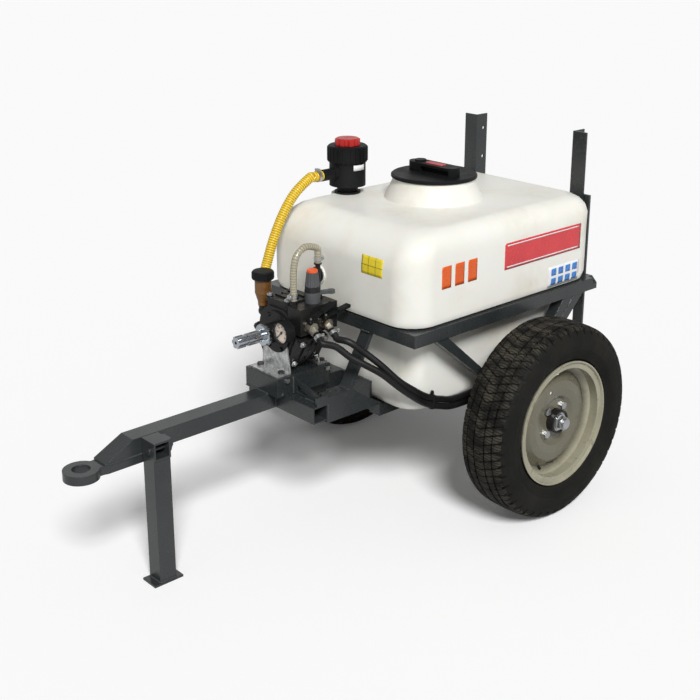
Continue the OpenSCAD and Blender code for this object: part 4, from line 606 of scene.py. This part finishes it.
bypass_points = place([(60, -586, 664), (60, -586, 690), (60, -586, 702), (60, -585, 745),
    (60, -575, 785), (59, -545, 805), (57, -513, 800), (56, -496, 790), (56, -496, 778),
    (56, -496, 752)], BAR_X)
bypass_line = even_steps(smooth_line(bypass_points), BYPASS_TURNS * RIB_STEPS)
bypass_length = length_of(bypass_line)
milky_pvc = banded("milky_pvc", (0.42, 0.395, 0.30), (0.29, 0.265, 0.19),
    bypass_length / BYPASS_TURNS, (0.20, 0.34),
    Subsurface_Weight=0.25, Subsurface_Scale=0.006, Coat_Weight=0.3)
bm = bmesh.new()
sweep(bm, bypass_line, (1, 0, 0), ribbed_radii(bypass_line, 0.0095, 0.00022), 24)
bypass_hose = finish_piece("bypass_hose_milky", bm, milky_pvc, "chassis")
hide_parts("bypass_hose")
print("bypass hose", round(bypass_length, 3), "m")

# %% [markdown]
# ## The delivery hoses
# Two plain rubber hoses leave the ball valves, pass the tank's corner and run along its side
# to the couplings behind. Rubber has no ribs, so a tube of even radius is enough.

# %% Delivery hoses
drop = math.radians(35)


def from_valve(y):
    return [(71 + d * math.cos(drop), y, 600 - d * math.sin(drop)) for d in (24, 48, 58)]


def to_coupling(x):
    return [(x, y, 323.5) for y in (280, 292, 316)]


near_points = place(from_valve(-575) + [(138, -545, 556), (165, -519, 528), (193, -490, 506),
    (223, -456, 479), (250, -420, 441), (264, -380, 406), (264, -330, 371), (264, -269, 345),
    (264, -190, 329), (264, 60, 329), (268, 190, 327)] + to_coupling(281))
far_points = place(from_valve(-522) + [(148, -506, 562), (178, -476, 532), (210, -447, 498),
    (242, -414, 455), (262, -382, 427), (264, -330, 392), (264, -269, 366), (264, -190, 350),
    (264, 60, 350), (280, 170, 345)] + to_coupling(313))
for name, points in (("delivery_hose_near", near_points), ("delivery_hose_far", far_points)):
    line = even_steps(smooth_line(points), 200)
    bm = bmesh.new()
    sweep(bm, line, (0, 1, 0), [0.0095] * len(line), 20)
    hose = finish_piece(name, bm, delivery_rubber, "chassis")
    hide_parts("delivery_hoses")
    print(name, round(length_of(line), 3), "m")

# %% [markdown]
# ## The clip between the delivery hoses
# One moulded clip ties both hoses together beside the tank. A short cylinder becomes a
# stadium when its upper half is moved up by the distance between the hoses, and the
# clip's closing button stands on top.

# %% Hose clip
bm = bmesh.new()
clip_x, clip_y, hose_gap = 0.264, AXLE_Y - 0.302, 0.021
around = Matrix.Translation((clip_x, clip_y, 0.3569)) @ Matrix.Rotation(math.radians(66), 4, "X")
bmesh.ops.create_cone(bm, cap_ends=True, segments=32, radius1=0.0118, radius2=0.0118,
    depth=0.011, matrix=around)
upper = [v for v in bm.verts if (around.inverted() @ v.co).y > 0]
bmesh.ops.translate(bm, vec=(0, 0, hose_gap), verts=upper)
bmesh.ops.create_cone(bm, cap_ends=True, segments=20, radius1=0.0050, radius2=0.0042,
    depth=0.010, matrix=Matrix.Translation((clip_x, clip_y, 0.3955)))
bmesh.ops.bevel(bm, geom=[e for e in bm.edges if e.calc_face_angle(0) > 1],
    offset=0.0012, segments=2, affect="EDGES", profile=0.5, material=-1)
finish_piece("hose_clip", bm, black_plastic, "chassis", smooth=False)

# %% [markdown]
# ## Weld beads
# The frame is stick welded, and each joint carries a rippled bead. A bead is a thin swept
# tube whose radius swings every few millimetres; it lies half sunk in the corner between
# two plates, so only its crest shows.

# %% Weld helper
BEAD_R = 0.0032
BEAD_STEP = 0.0016


def bead(bm, start, end):
    a, b = Vector(start), Vector(end)
    count = max(4, round((b - a).length / BEAD_STEP))
    line = [a.lerp(b, i / count) for i in range(count + 1)]
    swing = [BEAD_R * (0.86 + 0.14 * math.sin(i * 1.7)) for i in range(count + 1)]
    for i in (0, -1):
        swing[i] *= 0.6
    first = (0, 0, 1) if abs((b - a).normalized().z) < 0.9 else (1, 0, 0)
    sweep(bm, line, first, swing, 8)


def mm(x, y, z, x0=BAR_X):
    return (x / 1000 + x0, y / 1000 + AXLE_Y, z / 1000)


weld_steel = finish("weld_steel", (0.036, 0.040, 0.041), (0.056, 0.060, 0.060),
    60, (0.38, 0.55), 700, 0.3)
print("weld helper ready")

# %% [markdown]
# The beads are placed one by one along the joints of tube and plate. Those beside the
# drawbar come in pairs, so a loop lays both sides at once, and all of them ride with the
# frame as one piece.

# %% Weld beads on the drawbar and the frame
bm = bmesh.new()
for s in (-1, 1):
    bead(bm, mm(s * 27.5, -578, 355), mm(s * 27.5, -578, 401))
    bead(bm, mm(s * 27.5, -628, 355), mm(s * 27.5, -628, 401))
    bead(bm, mm(s * 27.5, -1155, 355), mm(s * 27.5, -1048, 355))
bead(bm, mm(-26, -1166, 356), mm(26, -1166, 356))
bead(bm, mm(-70, -655, 401), mm(-28, -655, 401))
bead(bm, mm(-27, -655, 402), mm(27, -655, 402))
bead(bm, mm(70, -599, 402), mm(70, -599, 446))
for s in (-1, 1):
    x = s * 121
    if s > 0:
        bead(bm, mm(x - 19, -501, 420.5, 0), mm(x + 19, -501, 420.5, 0))
    bead(bm, mm(x - 18, -424, 567, 0), mm(x + 18, -424, 567, 0))
    bead(bm, mm(s * 141, -577, 401, 0), mm(s * 141, -577, 356, 0))
bead(bm, mm(133, -599, 402, 0), mm(72, -599, 402, 0))
finish_piece("weld_beads", bm, weld_steel, "chassis")

# %% [markdown]
# The stand's leg is welded to its foot plate on all four sides. These four beads are a piece
# of their own, because the stand folds and has to carry them with it.

# %% Weld beads on the stand
bm = bmesh.new()
for y in (-24.5, 24.5):
    bead(bm, mm(34, -1038 + y, 6.5), mm(82, -1038 + y, 6.5))
for x in (33.5, 82.5):
    bead(bm, mm(x, -1062, 6.5), mm(x, -1014, 6.5))
finish_piece("stand_welds", bm, weld_steel, "stand")

# %% [markdown]
# ## Stickers on the tank
# A sticker is a thin film that follows the moulded wall. A fine grid is laid in front of the
# wall, each of its corners is dropped onto the tank along the sticker's normal, and a
# Solidify modifier gives the film its thickness. All of them are plain, with no lettering.

# %% Sticker helper
FILM_THICKNESS = 0.00025
ON_WALL = 0.0004
ON_FILM = 0.0008

source = bmesh.new()
source.from_mesh(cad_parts["tank"].data)
bmesh.ops.remove_doubles(source, verts=source.verts, dist=0.00001)
tank_wall = BVHTree.FromBMesh(source)
source.free()


def finish_film(name, bm, material, look):
    bmesh.ops.recalc_face_normals(bm, faces=bm.faces)
    if sum((f.normal.dot(look) for f in bm.faces)) > 0:
        bmesh.ops.reverse_faces(bm, faces=bm.faces)
    piece = add_object(name, bm, material)
    thick = piece.modifiers.new("film", "SOLIDIFY")
    thick.thickness = FILM_THICKNESS
    thick.offset = -1
    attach(piece, "chassis")
    print(name, "laid on its wall")


def film(name, outline, look, material, lift, cuts):
    (u0, u1), (z0, z1) = outline
    bm = bmesh.new()
    bmesh.ops.create_grid(bm, x_segments=cuts[0], y_segments=cuts[1], size=0.5)
    look = Vector(look)
    for v in bm.verts:
        u = u0 + (u1 - u0) * (v.co.x + 0.5)
        z = z0 + (z1 - z0) * (v.co.y + 0.5)
        start = Vector((0.8, u, z)) if look.x else Vector((u, -0.5, z))
        v.co = tank_wall.ray_cast(start, look)[0] - look * lift
    finish_film(name, bm, material, look)

# %% [markdown]
# Printed vinyl is even in colour and a little glossier than the tank under it. All the films
# share one base with a very low bump, and differ only in ink and gloss.

# %% Sticker materials
def film_finish(name, tone, second, rough=(0.22, 0.34)):
    return finish(name, tone, second, 20, rough, 300, 0.04)


red_film = film_finish("red_film", (0.68, 0.060, 0.068), (0.61, 0.050, 0.058), (0.20, 0.30))
white_film = film_finish("white_film", (0.84, 0.85, 0.86), (0.78, 0.79, 0.80), (0.22, 0.32))
orange_film = film_finish("orange_film", (0.74, 0.115, 0.015), (0.66, 0.095, 0.012))
yellow_film = film_finish("yellow_film", (0.85, 0.68, 0.03), (0.78, 0.61, 0.025))
blue_film = film_finish("blue_film", (0.055, 0.22, 0.62), (0.045, 0.19, 0.55))
dark_film = film_finish("dark_film", (0.10, 0.085, 0.02), (0.08, 0.07, 0.02), (0.3, 0.4))
print("films ready")

# %% [markdown]
# The right side has a red panel with two white lines, a white panel with two rows of blue
# tabs, and three orange bars. Each film is given by its lower corner, measured from the
# axle and the ground, and its size, so that equal ones can be laid in a loop.

# %% Stickers on the right side
into_side = (-1, 0, 0)


def side_film(name, y, z, wide, high, *look_and_cuts):
    film(name, ((AXLE_Y + y, AXLE_Y + y + wide), (z, z + high)), into_side, *look_and_cuts)


side_film("side_panel_red", -0.068, 0.709, 0.340, 0.077, red_film, ON_WALL, (24, 10))
for i, z in enumerate((0.7765, 0.7145)):
    side_film(f"side_panel_line_{i}", -0.058, z, 0.320, 0.0035, white_film, ON_FILM, (24, 1))
side_film("side_panel_white", 0.130, 0.612, 0.142, 0.064, white_film, ON_WALL, (14, 6))
for row in range(2):
    for column in range(4):
        side_film(f"side_panel_tab_{row}{column}", 0.143 + 0.0325 * column, 0.619 + 0.029 * row,
            0.022, 0.021, blue_film, ON_FILM, (4, 4))
for i in range(3):
    side_film(f"side_bar_{i}", -0.320 + 0.051 * i, 0.707, 0.036, 0.062,
        orange_film, ON_WALL, (6, 6))

# %% [markdown]
# The yellow panel on the front is ruled into six boxes. The lines are films of their own on
# top of it, which keeps their edges sharp at any distance.

# %% Sticker on the front
into_front = (0, 1, 0)
line_width = 0.0012
panel_x, panel_z, middle_z = (0.113, 0.195), (0.735, 0.786), (0.7600, 0.7600 + line_width)
film("front_panel_yellow", (panel_x, panel_z), into_front, yellow_film, ON_WALL, (10, 6))
for i in range(2):
    x0 = panel_x[0] + (panel_x[1] - panel_x[0]) * (i + 1) / 3 - line_width / 2
    film(f"front_panel_line_{i}", ((x0, x0 + line_width), panel_z), into_front, dark_film,
        ON_FILM, (1, 6))
film("front_panel_line_2", (panel_x, middle_z), into_front, dark_film, ON_FILM, (10, 1))

# %% [markdown]
# ## The pressure gauge
# The needle turns in front of a printed dial, behind a domed glass. The dial is a disc, its
# scale is a ring of small boxes turned about the pivot, and the plain numbers are text made
# into a mesh. Angles are in degrees: zero is at the lower left and the scale sweeps 270.

# %% Gauge dial
GAUGE = Vector((0.017, AXLE_Y - 0.640, 0.584))
DIAL_ZERO = 225
DIAL_SWEEP = 270
dial_paper = finish("dial_paper", (0.90, 0.76, 0.64), (0.86, 0.71, 0.59),
    60, (0.30, 0.40), 900, 0.03)
print_ink = finish("print_ink", (0.02, 0.018, 0.018), (0.035, 0.03, 0.03),
    60, (0.35, 0.45), 900, 0.03)
facing = Matrix.Rotation(math.radians(90), 4, "X")

bm = bmesh.new()
bmesh.ops.create_cone(bm, cap_ends=True, segments=64, radius1=0.0282, radius2=0.0282,
    depth=0.0006, matrix=Matrix.Translation(GAUGE + Vector((0, 0.0086, 0))) @ facing)
finish_piece("gauge_dial", bm, dial_paper, "chassis", smooth=False)

# %% [markdown]
# The scale has 31 marks, every fifth one longer and wider, and seven numbers from 0 to 60.
# A printed picture would blur close up, so each mark is a thin box and each number a thin
# mesh on the dial. All are joined into one piece.

# %% Gauge scale and numbers
bm = bmesh.new()
front = Matrix.Translation(GAUGE + Vector((0, 0.0080, 0)))
marks, numbers, mark_r, number_r = 30, 6, 0.0252, 0.0166
for i in range(marks + 1):
    angle = math.radians(DIAL_ZERO - DIAL_SWEEP * i / marks)
    size = (0.0028, 0.0004, 0.0004) if i % 5 else (0.0048, 0.0004, 0.0008)
    outward = Matrix.Rotation(-angle, 4, "Y") @ Matrix.Translation((mark_r - size[0] / 2, 0, 0))
    bmesh.ops.create_cube(bm, size=1.0, matrix=front @ outward @ Matrix.Diagonal((*size, 1)))
for i in range(numbers + 1):
    angle = math.radians(DIAL_ZERO - DIAL_SWEEP * i / numbers)
    text = bpy.data.curves.new("dial_number", "FONT")
    text.body = str(i * 10)
    text.size = 0.0062
    text.extrude = 0.0001
    text.align_x = text.align_y = "CENTER"
    holder = bpy.data.objects.new("dial_number", text)
    bpy.context.scene.collection.objects.link(holder)
    bpy.context.view_layer.update()
    shown = holder.evaluated_get(bpy.context.evaluated_depsgraph_get())
    mesh = bpy.data.meshes.new_from_object(shown)
    spot = (number_r * math.cos(angle), -0.0001, number_r * math.sin(angle))
    mesh.transform(front @ Matrix.Translation(spot) @ facing)
    bm.from_mesh(mesh)
    bpy.data.objects.remove(holder)
    bpy.data.meshes.remove(mesh)
finish_piece("gauge_print", bm, print_ink, "chassis", smooth=False)

# %% [markdown]
# The glass is shallow and domed. Half a sphere pressed almost flat gives that curve, and a
# low alpha lets the needle and the dial show through without any refraction.

# %% Gauge glass
gauge_glass = finish("gauge_glass", (0.95, 0.95, 0.95), (0.93, 0.93, 0.93),
    20, (0.02, 0.05), 300, 0.01, Alpha=0.05)
bm = bmesh.new()
bmesh.ops.create_uvsphere(bm, u_segments=48, v_segments=24, radius=0.0285)
bmesh.ops.bisect_plane(bm, geom=list(bm.verts) + list(bm.edges) + list(bm.faces),
    plane_co=(0, 0, 0), plane_no=(0, 0, -1), clear_outer=True)
bmesh.ops.transform(bm, verts=bm.verts, matrix=Matrix.Diagonal((1, 1, 0.045, 1)))
bmesh.ops.edgeloop_fill(bm, edges=[e for e in bm.edges if e.is_boundary])
bmesh.ops.transform(bm, verts=bm.verts,
    matrix=Matrix.Translation(GAUGE + Vector((0, 0.0022, 0))) @ facing)
finish_piece("gauge_glass", bm, gauge_glass, "chassis")

# %% [markdown]
# ## The label place on the filter
# A small bare white label is wrapped round the filter's cup. A piece of a circle is extruded
# upwards and given a thin wall.

# %% Filter label
bm = bmesh.new()
cup = Vector((-0.207, AXLE_Y - 0.193, 0.937))
ring = bmesh.ops.create_circle(bm, segments=96, radius=0.0542,
    matrix=Matrix.Translation(cup))["verts"]
label_height = 0.016
around_cup = {v: math.degrees(math.atan2(v.co.y - cup.y, v.co.x - cup.x)) for v in ring}
bmesh.ops.delete(bm, geom=[v for v in ring if not -24 < around_cup[v] < 26], context="VERTS")
lifted = bmesh.ops.extrude_edge_only(bm, edges=bm.edges[:])["geom"]
bmesh.ops.translate(bm, vec=(0, 0, label_height),
    verts=[g for g in lifted if isinstance(g, bmesh.types.BMVert)])
finish_film("filter_label", bm, white_film, Vector((-1, -0.02, 0)))

# %% [markdown]
# ## Inlay in the lid's grip
# A soft orange-red strip is set into the top of the lid's bar grip beside the breather. It
# is a bevelled slab, half sunk, and lifts off with the lid.

# %% Lid inlay
_, lid_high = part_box("tank_lid")
bm = bmesh.new()
bmesh.ops.create_cube(bm, size=1.0)
bmesh.ops.transform(bm, verts=bm.verts,
    matrix=Matrix.Translation((0.006, AXLE_Y - 0.038, lid_high.z))
    @ Matrix.Diagonal((0.070, 0.026, 0.003, 1)))
bmesh.ops.bevel(bm, geom=[e for e in bm.edges if abs((e.verts[0].co - e.verts[1].co).z) > 0.002],
    offset=0.010, segments=6, affect="EDGES", profile=0.5, material=-1)
bmesh.ops.bevel(bm, geom=[e for e in bm.edges if min(v.co.z for v in e.verts) > lid_high.z],
    offset=0.0006, segments=2, affect="EDGES", profile=0.5, material=-1)
finish_piece("lid_inlay", bm, red_plastic, "lid", smooth=False)

# %% [markdown]
# ## Floor and light
# The cart stands on a white floor under one large soft sun from its right and front, with
# the white world as a weak fill. Glossy paint also mirrors a pale backdrop behind the cart.
# The world can play both parts: it is bright to the camera, brighter towards the backdrop
# for glossy rays, and weak for all the rest.

# %% World
BACKDROP_SIDE = (-0.73, 0.66, 0.18)
FILL_LIGHT = 0.21

world = bpy.data.worlds.new("studio_world")
bpy.context.scene.world = world
world.use_nodes = True
tree = world.node_tree
background = tree.nodes["Background"]
rays = tree.nodes.new("ShaderNodeLightPath")
seen = calc(tree, "MAXIMUM", rays.outputs["Is Camera Ray"], rays.outputs["Is Transmission Ray"])
toward = node(tree, "ShaderNodeVectorMath", operation="DOT_PRODUCT")
link(tree, tree.nodes.new("ShaderNodeTexCoord").outputs["Generated"], toward.inputs[0])
toward.inputs[1].default_value = BACKDROP_SIDE
backdrop = spread_to(tree, toward.outputs["Value"], 0.0, 0.62, 0.2, 0.9)
glossy = calc(tree, "MULTIPLY", rays.outputs["Is Glossy Ray"], backdrop)
background.inputs["Color"].default_value = (1, 1, 1, 1)
strength = calc(tree, "MAXIMUM", seen, calc(tree, "MAXIMUM", glossy, FILL_LIGHT))
link(tree, strength, background.inputs["Strength"])

# %% [markdown]
# The floor is one large plain sheet. It is white where the camera sees it and greyer for
# the light it throws back, so that the undersides stay dark.

# %% Floor
floor_paint = finish("floor_paint", (0.60, 0.60, 0.60), (0.62, 0.62, 0.62),
    2, (0.85, 0.95), 200, 0.02)
tree = floor_paint.node_tree
rays = tree.nodes.new("ShaderNodeLightPath")
surface = tree.nodes["Principled BSDF"]
surface.inputs["Specular IOR Level"].default_value = 0.0
surface.inputs["Emission Color"].default_value = (1, 1, 1, 1)
glow = calc(tree, "MULTIPLY", rays.outputs["Is Camera Ray"], 0.05)
link(tree, glow, surface.inputs["Emission Strength"])
tint_by(floor_paint, rays.outputs["Is Camera Ray"], (0.99, 0.99, 0.99))
bm = bmesh.new()
bmesh.ops.create_grid(bm, x_segments=1, y_segments=1, size=60)
floor = add_object("studio_floor", bm, floor_paint, smooth=False)
print("floor laid")

# %% [markdown]
# A sun lights the floor evenly however far it reaches, so the floor needs no horizon. Its
# wide angle gives the shadow a soft edge.

# %% Sun
sun_data = bpy.data.lights.new("soft_sun", "SUN")
sun_data.energy = 3.25
sun_data.angle = math.radians(18)
sun = bpy.data.objects.new("soft_sun", sun_data)
sun.rotation_euler = Vector((-1.0, 0.6, -1.08)).to_track_quat("-Z", "Y").to_euler()
bpy.context.scene.collection.objects.link(sun)
print("sun placed")

# %% [markdown]
# ## Colour
# The Standard view keeps the whites of floor and tank white.

bpy.context.scene.view_settings.view_transform = "Standard"
